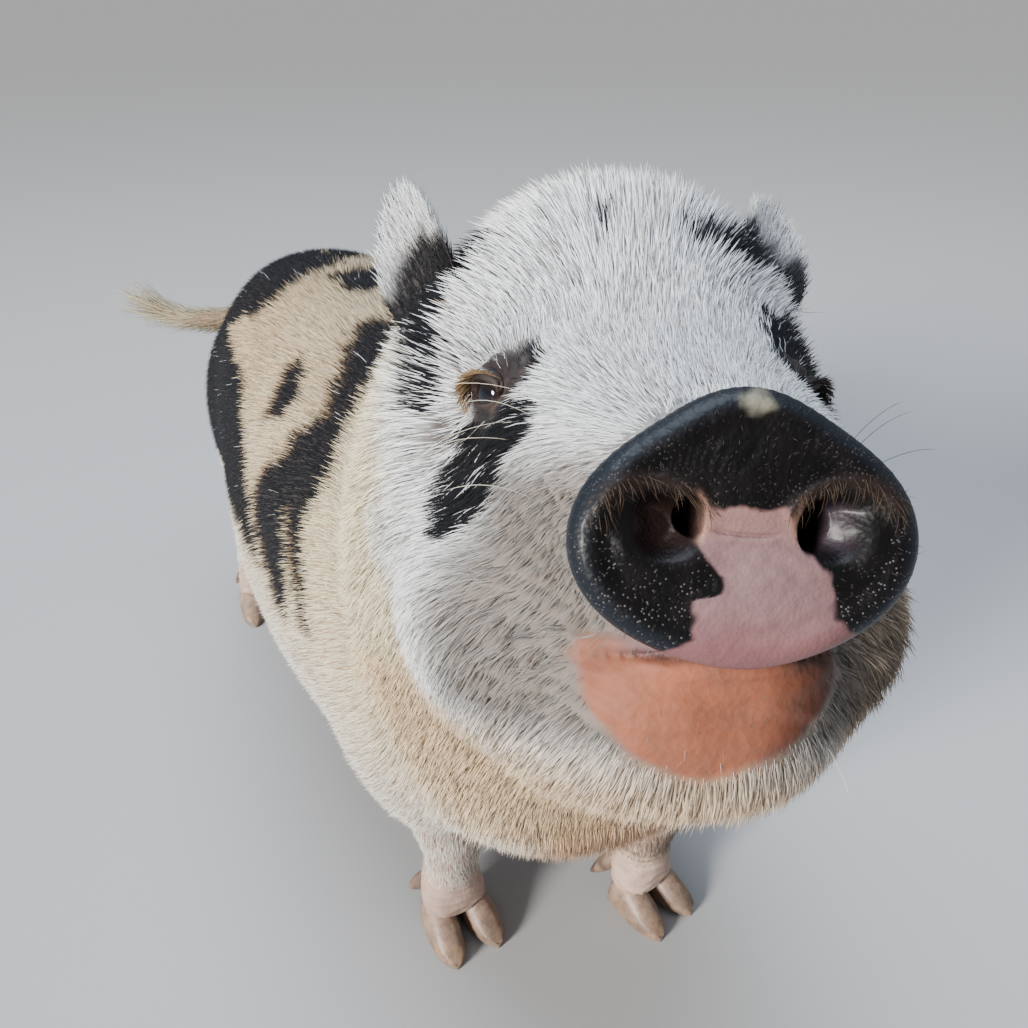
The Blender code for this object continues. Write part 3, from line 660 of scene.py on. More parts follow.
def temple_share(local):
    """1 on the thinly haired skin outside and below the right eye."""
    away = np.linalg.norm((local - [-0.0710, 0.0130, -0.0110]) / 0.0135, axis=1)
    return ramp(-away + 0.12 * waves(local, 0.008, 15), -1.15, -0.60)


def muzzle_share(local):
    """1 on the muzzle's sides, where the grey skin shows between the hairs."""
    y, z = local[:, 1], local[:, 2]
    return ramp(-y, 0.030, 0.065) * ramp(-z, 0.012, 0.030) * ramp(z, -0.100, -0.085)


def coat_tone(points):
    """The mean colour of the pale hair at each place."""
    local = to_head(points)
    head = head_share(points)
    x, y, z = points.T
    brisket = ramp(-y, 0.215, 0.255) * ramp(-z, -0.330, -0.270) * ramp(x, -0.080, -0.045)
    shaded = ramp(-z, -0.120, -0.080) * ramp(x, 0.0, 0.02) * ramp(-y, 0.0, 0.1)
    body = layered(
        CREAM,
        (BEIGE, ramp(waves(points, 0.06, 91), -0.8, 0.9)),
        (TAN, 0.25 * ramp(z, 0.33, 0.38)),
        (SHOULDER_CREAM, ramp(-y, 0.02, 0.13) * 0.9),
        (FLANK_CREAM, ramp(-z, -0.30, -0.20) * 0.9),
        (WHITE * [0.95, 0.90, 0.82], ramp(-z, -0.27, -0.17) * 0.8),
        (BRISKET_ORANGE, brisket * 0.85),
        # the far foreleg, on the side away from the light: its brown hair with painted shade
        (LEG_BROWN_AND_SHADE, shaded * 0.85),
    )
    # the cheek turns from white to cream behind a soft line that leans forwards above
    line = np.interp(local[:, 2], [-0.10, -0.06, 0.0, 0.04, 0.08], [0.020, 0.034, 0.044, 0.070, 0.160])
    white = head * ramp(line - local[:, 1] + 0.006 * waves(local, 0.016, 92), -0.016, 0.014)
    jowl = ramp(-local[:, 2], 0.086, 0.108)
    jowl = np.maximum(jowl, ramp(local[:, 0], 0.026, 0.052) * ramp(-local[:, 2], 0.040, 0.062)) * head
    muzzle = muzzle_share(local) * head
    return layered(body, (WHITE, white), (JOWL_HAIR, jowl * 0.85), (MUZZLE_HAIR, 0.85 * muzzle))


def skin_colour(points):
    """The colour of the bare skin: under thick hair the shade of the gaps between the hairs."""
    local = to_head(points)
    head = head_share(points)
    tone = 1 + 0.10 * waves(points, 0.02, 11) + 0.06 * waves(points, 0.006, 12)
    pale = coat_tone(points)
    flank = mix(pale * [0.42, 0.335, 0.285], PINK * 0.80, ramp(-points[:, 2], -0.20, -0.13))
    jowl = ramp(-local[:, 2], 0.092, 0.104) * ramp(-local[:, 1], 0.0, 0.05)
    leg = ramp(-points[:, 2], -0.085, -0.052)
    chin = mix(CHIN_PINK, CHIN_SHADE, ramp(local[:, 0], -0.002, 0.026) * 0.9)
    colour = layered(
        flank,
        (pale * [0.230, 0.222, 0.220], head),
        (GREY_SKIN * [0.98, 0.93, 0.86], muzzle_share(local) * head),
        (JOWL_SKIN, jowl * head * 0.8),
        (FOOT_SKIN, leg),
        (DARK_SKIN, blackness(points) * (1 - leg)),
        (chin * (1 + 0.08 * waves(local, 0.012, 13))[:, None], chin_share(local) * head),
        (TEMPLE_SKIN, temple_share(local) * head),
        # the bare skin round the eyes and the hollow before and below them: dark skin with painted shade of
        # the deep-set eyes
        (SOCKET_SKIN_AND_SHADE, np.maximum(eye_bare(local), socket_share(local)) * head),
    )
    return colour * tone[:, None]


def lip_colour(local, colour):
    """The skin's colour, turned pink where the disc's pale patch runs down to the upper lip."""
    x, y, z = local.T
    lip = ramp(-y, 0.075, 0.090) * ramp(-z, 0.058, 0.064) * ramp(z, -0.0705, -0.0690)
    pink = lip * ramp(x, -0.030, -0.018) * ramp(-x, -0.036, -0.026)
    return mix(colour, SNOUT_PINK * 0.92, pink)


# Skin


def fused_flesh():
    """The flesh nodes as one fine closed skin, with their thin gaps, sockets and slots closed."""
    build = bmesh.new()
    for name in [*FLESH, "ear_left", "ear_right"]:
        copy = bmesh.new()
        copy.from_mesh(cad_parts[name].data)
        bmesh.ops.remove_doubles(copy, verts=copy.verts, dist=1e-5)
        copy.normal_update()
        if name.startswith("ear"):
            root = Vector(from_head(np.array(EARS[name[4:]][0])))
            for vert in copy.verts:
                if (vert.co - root).length > 0.030:
                    vert.co = vert.co.lerp(root, 0.55)
        for vert in copy.verts:
            vert.co += vert.normal * 0.0004
        mesh = bpy.data.meshes.new("copy")
        copy.to_mesh(mesh)
        copy.free()
        build.from_mesh(mesh)
        bpy.data.meshes.remove(mesh)
    for side in (-1, 1):
        place = HEAD @ Matrix.Translation(Vector(EYE_AT * [side, 1, 1]))
        bmesh.ops.create_icosphere(build, subdivisions=4, radius=EYE_RADIUS + 0.0009, matrix=place)
    mesh = bpy.data.meshes.new("rough")
    build.to_mesh(mesh)
    build.free()
    rough = linked("rough", mesh)
    remesh = rough.modifiers.new("fuse", "REMESH")
    remesh.mode = "VOXEL"
    remesh.voxel_size = SKIN_VOXEL * 1.0
    graph = bpy.context.evaluated_depsgraph_get()
    made = bpy.data.meshes.new_from_object(rough.evaluated_get(graph))
    bpy.data.objects.remove(rough, do_unlink=True)
    return made


def keep_outer(mesh):
    """Drops closed hollows and scraps beside the one large surface."""
    ends = mesh_ends(mesh)
    label = np.arange(len(mesh.vertices))
    while True:
        low = np.minimum(label[ends[:, 0]], label[ends[:, 1]])
        fresh = label.copy()
        np.minimum.at(fresh, ends[:, 0], low)
        np.minimum.at(fresh, ends[:, 1], low)
        fresh = fresh[fresh]
        if (fresh == label).all():
            break
        label = fresh
    names, counts = np.unique(label, return_counts=True)
    drop = label != names[counts.argmax()]

    def work(build):
        build.verts.ensure_lookup_table()
        bmesh.ops.delete(build, geom=[build.verts[i] for i in np.flatnonzero(drop)], context="VERTS")

    if drop.any():
        reworked(mesh, work)


def refined(mesh, wanted):
    """Halves the faces whose middle is wanted, given as a function of points."""
    def work(build):
        chosen = wanted(np.array([face.calc_center_median() for face in build.faces]))
        build.faces.ensure_lookup_table()
        edges = {edge for i in np.flatnonzero(chosen) for edge in build.faces[i].edges}
        bmesh.ops.subdivide_edges(build, edges=list(edges), cuts=1, use_grid_fill=True)

    reworked(mesh, work)


def coat_depth(points):
    """How far the skin lies below the tips of the coat."""
    local = to_head(points)
    head = head_share(points)
    depth = np.full(len(points), 0.0036)
    crown = ramp(local[:, 1] + 0.5 * local[:, 2], -0.045, 0.045)
    face = 0.0012 + 0.0060 * crown
    cheek = ramp(-local[:, 2], 0.0, 0.03) * ramp(local[:, 1], -0.07, -0.02)
    face = np.maximum(face, 0.0044 * cheek)
    depth = depth * (1 - head) + face * head
    bare = np.maximum(chin_share(local), eye_bare(local)) * head
    depth = depth * (1 - bare) + 0.0008 * bare
    leg = ramp(-points[:, 2], -0.15, -0.10)
    depth = depth * (1 - leg) + 0.0022 * leg
    foot = ramp(-points[:, 2], -0.055, -0.035)
    return depth * (1 - foot) + 0.0006 * foot


def opening_edge(along):
    """Upper and lower edge of the eye's opening at a place along it, and if that is between its corners."""
    across = np.clip(along / EYE_HALF, -1, 1)
    swell = np.sqrt(np.maximum(1 - across**2, 0))
    slant = -0.10 * along
    return 0.0041 * swell + slant, -0.0034 * swell + slant, np.abs(along) < EYE_HALF


def opening_margin(along, across):
    """How far a place is from the nearer edge of the eye's opening; negative outside it."""
    upper, lower, _ = opening_edge(along)
    return np.minimum(upper - across, across - lower)


def sculpted_lids(local):
    """Wraps lids round the eyes, opens them, and adds the folds above, below and before them."""
    for side in (-1, 1):
        centre, _, _, gaze = eye_frame(side)
        along, across, out, away = eye_place(local, side)
        near = (away < 0.034) & (out > -0.004)
        ways = unit(local - centre)
        turn = np.arccos(np.clip(ways @ gaze, -1, 1))
        upper, lower, inside = opening_edge(along)
        margin = np.where(inside, np.minimum(upper - across, across - lower), -0.004)
        hole = ramp(margin, -0.0003, 0.0006) * (out > 0)
        rim = bell(np.minimum(margin, 0), 0.0, 0.0016) * (1 - hole)
        hood = bell(across - upper, 0.0020, 0.0019) * ramp(-np.abs(along), -0.0140, -0.0080)
        lid = EYE_RADIUS + 0.0007 + 0.0004 * rim + 0.0014 * hood
        share = ramp(-turn, -1.45, -0.80)
        span = np.hypot(along, across * 1.45)
        snug = ramp(-span, -0.0190, -0.0100)
        wrapped = np.maximum(lid, away * 0.55 + lid * 0.45) * (1 - snug) + lid * snug
        reach = np.where(near, away * (1 - share) + wrapped * share, away)
        reach = reach * (1 - hole) + (EYE_RADIUS - 0.0030) * hole * near + reach * hole * ~near
        folds = np.sin(span / 0.00056 + 0.9 * waves(local, 0.006, 24))
        folds *= ramp(span, 0.0110, 0.0140) * ramp(-span, -0.026, -0.018)
        lift = 0.00034 * folds * ramp(across + 0.5 * along, -0.006, 0.004)
        crease = 0.0012 * bell(span, 0.0132, 0.0011) * ramp(across, -0.001, 0.003)
        under = 0.0009 * bell(span, 0.0140, 0.0014) * ramp(-across, 0.001, 0.004)
        corner = 0.0016 * bell(along, 0.0128, 0.0026) * bell(across, -0.0008, 0.0022)
        reach = reach + np.where(near, (lift - crease - under - corner) * (1 - hole), 0)
        local = np.where(near[:, None], centre + ways * reach[:, None], local)
    return local


MOUTH_HALF = [(0.0, -0.1010, -0.0690), (0.0200, -0.0975, -0.0695), (0.0370, -0.0840, -0.0720),
              (0.0450, -0.0680, -0.0780), (0.0480, -0.0600, -0.0830)]


def mouth_place(local):
    """Distance of points to the line of the mouth, and their height above it."""
    half = eased(MOUTH_HALF, 6)
    mirrored = local.copy()
    mirrored[:, 0] = np.abs(mirrored[:, 0])
    nearest = np.full(len(local), 1.0)
    height = np.zeros(len(local))
    for start, end in zip(half, half[1:]):
        along = end - start
        t = np.clip((mirrored - start) @ along / (along @ along), 0, 1)
        gap = mirrored - start - t[:, None] * along
        away = np.linalg.norm(gap[:, [0, 2]], axis=1) + 0.35 * np.abs(gap[:, 1])
        closer = away < nearest
        nearest = np.where(closer, away, nearest)
        height = np.where(closer, gap[:, 2], height)
    return nearest, height


def sculpted_face(local, normals):
    """Moves the points of the face along their normals for the mouth, lips, folds and fine wrinkles."""
    x, y, z = local.T
    move = np.zeros(len(local))
    away, height = mouth_place(local)
    front = ramp(-y, 0.045, 0.062)
    move -= 0.0042 * bell(away, 0.0, 0.0011) * front
    move += 0.0013 * bell(height, 0.0035, 0.0026) * (away < 0.012) * front
    move += 0.0010 * bell(height, -0.0036, 0.0028) * (away < 0.012) * front
    side = np.abs(x)
    mirrored = np.stack([side, y, z], axis=1)
    fold = chain(mirrored, [(0.0610, -0.0440, -0.0600, 0.004), (0.0560, -0.0515, -0.0705, 0.005),
                            (0.0500, -0.0590, -0.0800, 0.004)])
    move -= 0.0020 * ramp(fold, 0.0, 1.0)
    second = chain(mirrored, [(0.0470, -0.0760, -0.0400, 0.003), (0.0500, -0.0700, -0.0560, 0.004),
                              (0.0460, -0.0720, -0.0680, 0.003)])
    move -= 0.0008 * ramp(second, 0.0, 1.0)
    muzzle = ramp(-y, 0.045, 0.070) * ramp(-z, -0.010, 0.010) * ramp(z, -0.075, -0.066)
    folds = np.sin((y + 0.25 * z) / 0.00085 + 2.2 * waves(local, 0.018, 21))
    move += 0.00022 * folds * muzzle
    cheek = muzzle_share(local)
    move += 0.00030 * np.sin((z - 0.4 * y) / 0.0011 + 2.0 * waves(local, 0.015, 22)) * cheek
    chin = chin_share(local)
    move -= 0.0011 * bell(x, 0.006, 0.009) * chin
    move += 0.00004 * waves(local, 0.0022, 23) * chin
    move -= 0.0006 * ramp(-y, 0.098, 0.1035)
    made = local + normals * move[:, None]
    # room behind the disc for the nostrils
    behind = ramp(-np.hypot(x, z - DISC_CENTRE), -0.031, -0.025) * ramp(-y, 0.088, 0.094)
    made[:, 1] += 0.014 * behind
    return made


def sculpted_feet(points, normals):
    """Folds round the pasterns and above the hooves."""
    z = points[:, 2]
    low = ramp(-z, -0.070, -0.055) * ramp(z, 0.010, 0.018)
    folds = np.sin(z / 0.0011 + 1.6 * waves(points, 0.016, 31))
    return points + normals * (0.00045 * folds * low)[:, None]


def skin_mesh():
    mesh = fused_flesh()
    keep_outer(mesh)
    points = mesh_points(mesh)
    weight = np.where(points[:, 2] < 0.06, 0.18, 0.5)
    set_points(mesh, smoothed(points, mesh_ends(mesh), weight, 10))
    refined(mesh, lambda p: (to_head(p)[:, 1] < 0.045) & (p[:, 2] > 0.28))
    refined(mesh, lambda p: (eye_distance(to_head(p)) < 0.030)
            | ((to_head(p)[:, 1] < -0.060) & (p[:, 2] > 0.30) & (to_head(p)[:, 2] < -0.045)))
    refined(mesh, lambda p: eye_distance(to_head(p)) < 0.019)
    refined(mesh, lambda p: p[:, 2] < 0.065)
    points = mesh_points(mesh)
    points = smoothed(points, mesh_ends(mesh), np.where(points[:, 2] < 0.065, 0.25, 0.5), 4)
    set_points(mesh, points)
    points = points - mesh_normals(mesh) * coat_depth(points)[:, None]
    set_points(mesh, points)
    head = (head_share(points) > 0.5) & (points[:, 2] > 0.28)
    local = to_head(points[head])
    normals = mesh_normals(mesh)[head] @ HEAD_TURN
    local = sculpted_face(local, normals)
    local = sculpted_lids(local)
    points[head] = from_head(local)
    points = sculpted_feet(points, mesh_normals(mesh))
    points[:, 2] = np.maximum(points[:, 2], 0.0012)
    set_points(mesh, points)
    mesh.shade_smooth()
    return mesh


def paint_skin(mesh):
    points = mesh_points(mesh)
    local = to_head(points)
    colour = skin_colour(points)
    head = head_share(points)
    colour = np.where((head > 0.5)[:, None], lip_colour(local, colour), colour)
    # a dark line painted along the mouth: painted shade in its slit
    away, _ = mouth_place(local)
    line = bell(away, 0.0, 0.0014) * ramp(-local[:, 1], 0.050, 0.062) * head
    colour = mix(colour, MOUTH_SLIT_SHADE * 0.8, line)
    for side in (-1, 1):
        along, across, out, distance = eye_place(local, side)
        margin = opening_margin(along, across)
        near = (distance < 0.020) * (out > 0)
        lid = ramp(margin, -0.0050, -0.0020) * ramp(across, -0.0010, 0.0010) * near * (np.abs(along) < 0.0125)
        colour = mix(colour, LID_SKIN, lid)
        # the upper rim gets the painted shadow of the upper lid; the lower rim keeps the skin's own pinkish
        # brown
        above = ramp(across, -0.0012, 0.0004)[:, None]
        rim = ramp(margin, -0.0018, -0.0006) * near * (np.abs(along) < 0.0110) * (above[:, 0] * 0.2 + 0.8)
        tone = UPPER_LID_SHADOW * above + LOWER_RIM * (1 - above)
        colour = colour * (1 - rim[:, None]) + tone * rim[:, None]
    paint(mesh, np.clip(colour, 0.004, 1))


# Snout


def disc_reach(angle):
    from_top = math.pi / 2 - angle
    return sum(wave * np.cos(k * from_top) for k, wave in enumerate(DISC_WAVES))


# The pink patch's left and right edge, from the top down: z and x in millimetres from the disc's centre
PINK_LEFT = [
    (5.2, -10.5), (2.6, -10.4), (-2.9, -11.5), (-6.5, -9.5), (-10.1, -5.2), (-13.8, -6.3), (-15.5, -12.0),
    (-23.8, -12.7), (-27.1, -18.6), (-31.0, -24.0),
]
PINK_RIGHT = [
    (6.3, 8.2), (0.7, 10.7), (-3.2, 14.2), (-9.2, 17.8), (-14.7, 19.8), (-19.2, 20.0), (-22.0, 23.4),
    (-24.7, 29.8), (-31.0, 31.0),
]


def flat_points(x, z):
    return np.stack([x, np.zeros_like(x), z], axis=1)


def pink_share(x, z):
    """1 on the pink patch of the disc: x and z in millimetres from its centre."""
    points = flat_points(x, z)
    left, right = (np.interp(-z, *(np.array(rows).T * [[-1], [1]])) for rows in (PINK_LEFT, PINK_RIGHT))
    ragged = 0.55 * waves(points, 3.2, 41) + 0.25 * waves(points, 1.3, 42)
    inside = np.minimum(np.minimum(x - left, right - x), 5.4 - z)
    return ramp(inside + ragged, -0.8, 0.9)


def nostril_shape(x, z, side):
    """How far out of the hollow and the hole a place is, 1 at their edges; the left hole gapes wider."""
    across = x * side
    at, high, wide, tall = (13.2, 3.2, 2.9, 4.4) if side < 0 else (15.4, 1.2, 4.2, 5.8)
    hollow = np.hypot((across - 20.8) / 11.2, (z - 0.4 - 0.12 * (across - 14)) / 8.8)
    hole = np.hypot((across - at) / wide, (z - high - 0.25 * (across - at)) / tall)
    return hollow, hole, across


def nearest_hollow(x, z):
    return np.minimum(nostril_shape(x, z, -1)[0], nostril_shape(x, z, 1)[0])


def disc_height(x, z, edge):
    """How far the disc's face stands forward of its front plane, in millimetres; the rim is edge away."""
    points = flat_points(x, z)
    height = -1.3 * ramp(edge, 4.0, 10.0)
    height += 1.5 * bell(x, 0.0, 15.0) * bell(z, 17.0, 9.0)
    height += 1.5 * bell(x, 3.0, 13.0) * bell(z, -15.0, 11.0)
    for side in (-1, 1):
        hollow, hole, across = nostril_shape(x, z, side)
        inner = ramp(-across, -31.0, -13.0)
        height -= (2.2 + 4.4 * inner) * ramp(-hollow, -1.0, -0.45 + 0.15 * inner)
        height -= 11.0 * ramp(-hole, -1.10, -0.72)
        # the nostril's wing, brow and lower border
        height += 2.2 * bell(across, 26.5, 4.2) * bell(z, -0.5, 6.0)
        height += 0.9 * bell(hollow, 1.15, 0.16) * ramp(z, 0.0, 6.0)
        height += 0.5 * bell(hollow, 1.15, 0.20) * ramp(-z, 1.0, 7.0)
    bridge = np.exp(-((x + 1.0) / 7.5) ** 6)
    height += 0.6 * bridge * bell(z, 3.5, 4.0)
    crease_at = -0.9 + 0.012 * (x - 2.0) ** 2
    height -= 0.75 * bridge * bell(z, crease_at, 0.55)
    height += 0.30 * bridge * bell(z, crease_at - 1.4, 0.9)
    upright = ramp(z, 9.0, 15.0) * ramp(-np.abs(x), -22.0, -14.0) * ramp(edge, 1.0, 5.0)
    height += 0.045 * np.sin(x / 0.40 + 3.2 * waves(points, 7.0, 43)) * upright
    angle = np.arctan2(z, x)
    turned = np.sin(angle * 54 + 3.0 * waves(points, 8.0, 44))
    radial = ramp(z, 6.0, 14.0) * ramp(-edge, -9.0, -2.0)
    height += (0.045 + 0.035 * ramp(-x, -6.0, 8.0)) * turned * radial
    return height + 0.06 * waves(points, 2.2, 45) + 0.14 * waves(points, 7.0, 46)


# The disc's rounded edge: how far inside its outline, and how far back
RIM = [
    (0.0062, 0.0), (0.0030, 0.0007), (0.0009, 0.0026), (0.0001, 0.0048), (0.0002, 0.0070), (0.0012, 0.0098),
    (0.0028, 0.0122), (0.0060, 0.0142),
]


def snout_mesh():
    rows, columns = ((116, 260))
    angles = np.arange(columns) * math.tau / columns
    reach = disc_reach(angles) - 0.0001
    rings = [((reach - RIM[0][0]) * share, 0.0) for share in np.linspace(0.012, 1, rows)]
    rings += [(reach - inset, back) for inset, back in eased(RIM, 5)[1:]]
    across, rise = np.cos(angles), np.sin(angles)
    flat = np.concatenate([np.stack([r * across, r * rise, np.full(columns, back)], 1) for r, back in rings])
    edge = np.concatenate([reach - radius for radius, _ in rings]) * 1000
    x, z, back = flat[:, 0] * 1000, flat[:, 1] * 1000, flat[:, 2]
    height = disc_height(x, z, edge) * ramp(-back, -0.0060, 0.0)
    local = np.stack([flat[:, 0], DISC_FRONT + back - height / 1000 + 0.0004, flat[:, 1] + DISC_CENTRE], 1)
    angle = np.arctan2(z, x)
    lines = np.sin(angle * 70 + 2.0 * waves(local, 0.02, 47)) * ramp(z, -2.0, 8.0)
    swell = 0.00006 * lines * ramp(back, 0.0005, 0.0040)
    local[:, 0] += swell * np.cos(angle)
    local[:, 2] += swell * np.sin(angle)
    local = np.concatenate([local, [local[:columns].mean(0)]])
    hub = [(k, (k + 1) % columns, len(local) - 1) for k in range(columns)]
    mesh = mesh_from_arrays("snout_skin", from_head(local), grid_quads(len(rings), columns)[:, ::-1], hub)
    colour, dots = disc_colour(np.append(x, 0), np.append(z, 0), np.append(edge, 30), np.append(back, 0))
    paint(mesh, np.clip(colour, 0.001, 1))
    note(mesh, "dots", dots)
    return mesh


def disc_colour(x, z, edge, back):
    """Black with a brown cast, a pink patch, pink inside the nostrils' inner edges and a pale spot on top; a
    painted bluish reflection of the sky on the rim and painted shade deep in the nostril holes.
    """
    points = flat_points(x, z)
    pink = pink_share(x, z)
    blush = SNOUT_PINK * (1 + 0.07 * waves(points, 6.0, 52) + 0.05 * waves(points, 1.6, 53))[:, None]
    blush = layered(
        blush,
        (PINK_ABOVE, ramp(z, -4.0, 3.0) * 0.8),
        (PINK_BELOW, ramp(-z, 15.0, 27.0) * 0.7),
        (PINK_SHADE, ramp(x, 10.0, 28.0) * ramp(-z, 2.0, 14.0) * 0.8),
    )
    black = DISC_BLACK * (1 + 0.35 * waves(points, 5.0, 51))[:, None]
    # the rim gets a painted bluish reflection of the sky
    colour = layered(black, (DISC_RIM_REFLECTION, ramp(-edge, -6.0, -1.5)), (blush, pink))
    for side, warm, redness, paleness in ((-1, NOSTRIL_RIGHT, 0.85, 0.95), (1, NOSTRIL_LEFT, 0.55, 0.5)):
        hollow, hole, across = nostril_shape(x, z, side)
        red = ramp(-hollow, -1.0, -0.55) * ramp(-np.abs(z - 1.0), -7.0, -3.0)
        above = bell(hollow, 1.10, 0.22) * ramp(z, 3.0, 7.0)
        lip = bell(hole, 1.30, 0.22) * ramp(-across, -13.0, -10.5)
        colour = layered(
            colour,
            (warm, red * redness * ramp(-across, -27.0, -21.0)),
            (NOSTRIL_BROW, above * 0.6),
            (NOSTRIL_LIP, lip * ramp(z, -5.0, 0.0) * paleness),
            # painted shade deep in each hole
            (NOSTRIL_HOLE_SHADE, ramp(-hole, -1.15, -0.85)),
        )
    spot = np.hypot((x - 0.8) / 4.2, (z - 28.6) / 3.0) + 0.18 * waves(points, 2.0, 54)
    colour = mix(colour, DISC_SPOT, ramp(-spot, -1.20, -0.35) * 0.85)
    dots = (1 - pink) * ramp(nearest_hollow(x, z), 0.95, 1.15)
    dots = dots * (1 - ramp(z, 8.0, 16.0) * ramp(-np.abs(x), -20.0, -12.0))
    dots = dots * (back < 0.006) * (0.45 + 0.55 * ramp(-z, -6.0, 6.0))
    return colour, dots


# Eyes, ears, hooves, tail


def eye_mesh(side):
    """An eyeball with a clear bulge over a brown iris and a wide pupil."""
    centre, inner, up, gaze = eye_frame(side)
    rows, columns = 60, 72
    turn = np.linspace(0.004, math.pi - 0.004, rows)
    around = np.arange(columns) * math.tau / columns
    turn, around = (grid.ravel() for grid in np.meshgrid(turn, around, indexing="ij"))
    across, lift = np.sin(turn) * np.cos(around), np.sin(turn) * np.sin(around)
    ways = across[:, None] * inner + lift[:, None] * up + np.cos(turn)[:, None] * gaze
    reach = (EYE_RADIUS - 0.0006) + 0.0005 * ramp(-turn, -0.62, -0.30)
    points = from_head(centre + ways * reach[:, None])
    mesh = mesh_from_arrays("eyeball", points, grid_quads(rows, columns)[:, ::-1])
    pupil = np.hypot(across / 0.30, lift / 0.20)
    iris = np.hypot(across, lift)
    streak = 0.5 + 0.5 * np.sin(around * 41 + 3 * np.sin(around * 7))
    brown = IRIS[None] * (0.55 + 0.9 * streak * ramp(iris, 0.25, 0.5))[:, None]
    colour = layered(PUPIL, (brown, ramp(pupil, 0.92, 1.08)), (IRIS_EDGE, ramp(iris, 0.60, 0.66)),
                     (EYE_WHITE, ramp(iris, 0.70, 0.80)))
    paint(mesh, np.where((turn > math.pi / 2)[:, None], EYE_WHITE, colour))
    return mesh


def ear_rings(which, rows, columns, thickness, shrink):
    """The points of an ear: an upright leaf, cupped forwards and thin at its rim, row by row."""
    root, tip, facing = EARS[which]
    length = (tip - root).length
    rise = (tip - root).normalized()
    facing = (facing - rise * facing.dot(rise)).normalized()
    across = rise.cross(facing)
    rise, facing, across, root = (np.array(vector) for vector in (rise, facing, across, root))
    v = np.cos(np.linspace(math.pi, 0, columns))
    rings = []
    for u in np.linspace(0.0, 0.985, rows):
        swell = 0.78 + 0.22 * math.sin(min(u / 0.45, 1.0) * math.pi / 2)
        width = max(EAR_WIDTH * swell * math.sqrt(1.04 - u**2.4) - shrink, 0.004)
        cup = EAR_CUP * v * v * (1.1 - u) + EAR_BELLY * math.sin(u * math.pi)
        middle = root + rise * length * u + across * (width * v / 2)[:, None] + facing * cup[:, None]
        half = thickness / 2 * np.sqrt(np.maximum(1 - 0.96 * v * v, 0.02)) * (1.05 - 0.5 * u)
        front, back = middle + facing * half[:, None], middle - facing * half[:, None]
        rings.append(np.concatenate([front, back[::-1]]))
    return np.array(rings), rise


def face_outwards(mesh):
    reworked(mesh, lambda build: bmesh.ops.recalc_face_normals(build, faces=build.faces))
    mesh.shade_smooth()


def ear_mesh(which):
    rows, columns = ((44, 24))
    rings, rise = ear_rings(which, rows, columns, 0.0034, 0.0030)
    count = rings.shape[1]
    local = rings.reshape(-1, 3)
    local = np.concatenate([local, [local[-count:].mean(0) + rise * 0.0006]])
    rim = (rows - 1) * count
    fan = [(rows * count, rim + k, rim + (k + 1) % count) for k in range(count)]
    mesh = mesh_from_arrays("ear_skin_" + which, from_head(local), grid_quads(rows, count), fan)
    face_outwards(mesh)
    paint(mesh, ear_colour(to_head(mesh_points(mesh)), which)[1])
    return mesh


def ear_colour(local, which):
    """The colours of an ear's hair and skin: white towards the tip, black towards the root."""
    root, tip = (np.array(vector) for vector in EARS[which][:2])
    along = (local - root) @ unit(tip - root) / np.linalg.norm(tip - root)
    white = ramp(along + 0.07 * waves(local, 0.008, 61), EAR_BORDER - 0.08, EAR_BORDER + 0.10)
    if which == "right":
        outer = ramp(-local[:, 0], 0.0840, 0.0900) * ramp(along, 0.26, 0.40)
        white = np.maximum(white, outer * 0.9)
    return mix(BLACK, WHITE * 0.93, white), mix(DARK_SKIN, GREY_SKIN * 1.5, white)


def loft_points(stations, sides, steps, squareness, up_hint=(0, 0, 1)):
    """Rings of points round a line of stations: centre, half width, and reach above and below."""
    rows = eased(stations, steps)
    rings = []
    for i, row in enumerate(rows):
        tangent = unit(rows[min(i + 1, len(rows) - 1)][:3] - rows[max(i - 1, 0)][:3])
        side = unit(np.cross(tangent, up_hint))
        up = np.cross(side, tangent)
        angle = np.arange(sides) * math.tau / sides
        across = np.sign(np.cos(angle)) * np.abs(np.cos(angle)) ** (2 / squareness)
        along = np.sign(np.sin(angle)) * np.abs(np.sin(angle)) ** (2 / squareness)
        reach = np.where(along > 0, row[4], row[5])
        rings.append(row[:3] + side * (row[3] * across)[:, None] + up * (reach * along)[:, None])
    return np.array(rings)


def capped(name, rings, turn=None):
    """A closed mesh through rings of points, with a point in the middle of each end."""
    rows, count = rings.shape[:2]
    points = np.concatenate([rings.reshape(-1, 3), [rings[0].mean(0)], [rings[-1].mean(0)]])
    first = [(rows * count, (k + 1) % count, k) for k in range(count)]
    rim = (rows - 1) * count
    last = [(rows * count + 1, rim + k, rim + (k + 1) % count) for k in range(count)]
    mesh = mesh_from_arrays(name, points, grid_quads(rows, count), first + last)
    if turn is not None:
        mesh.transform(turn)
    face_outwards(mesh)
    return mesh


def foot_place(foot):
    x, y, turn = FEET[foot]
    return Matrix.Translation(SHIFT + Vector((x, y, 0.0))) @ Matrix.Rotation(turn, 4, "Z")


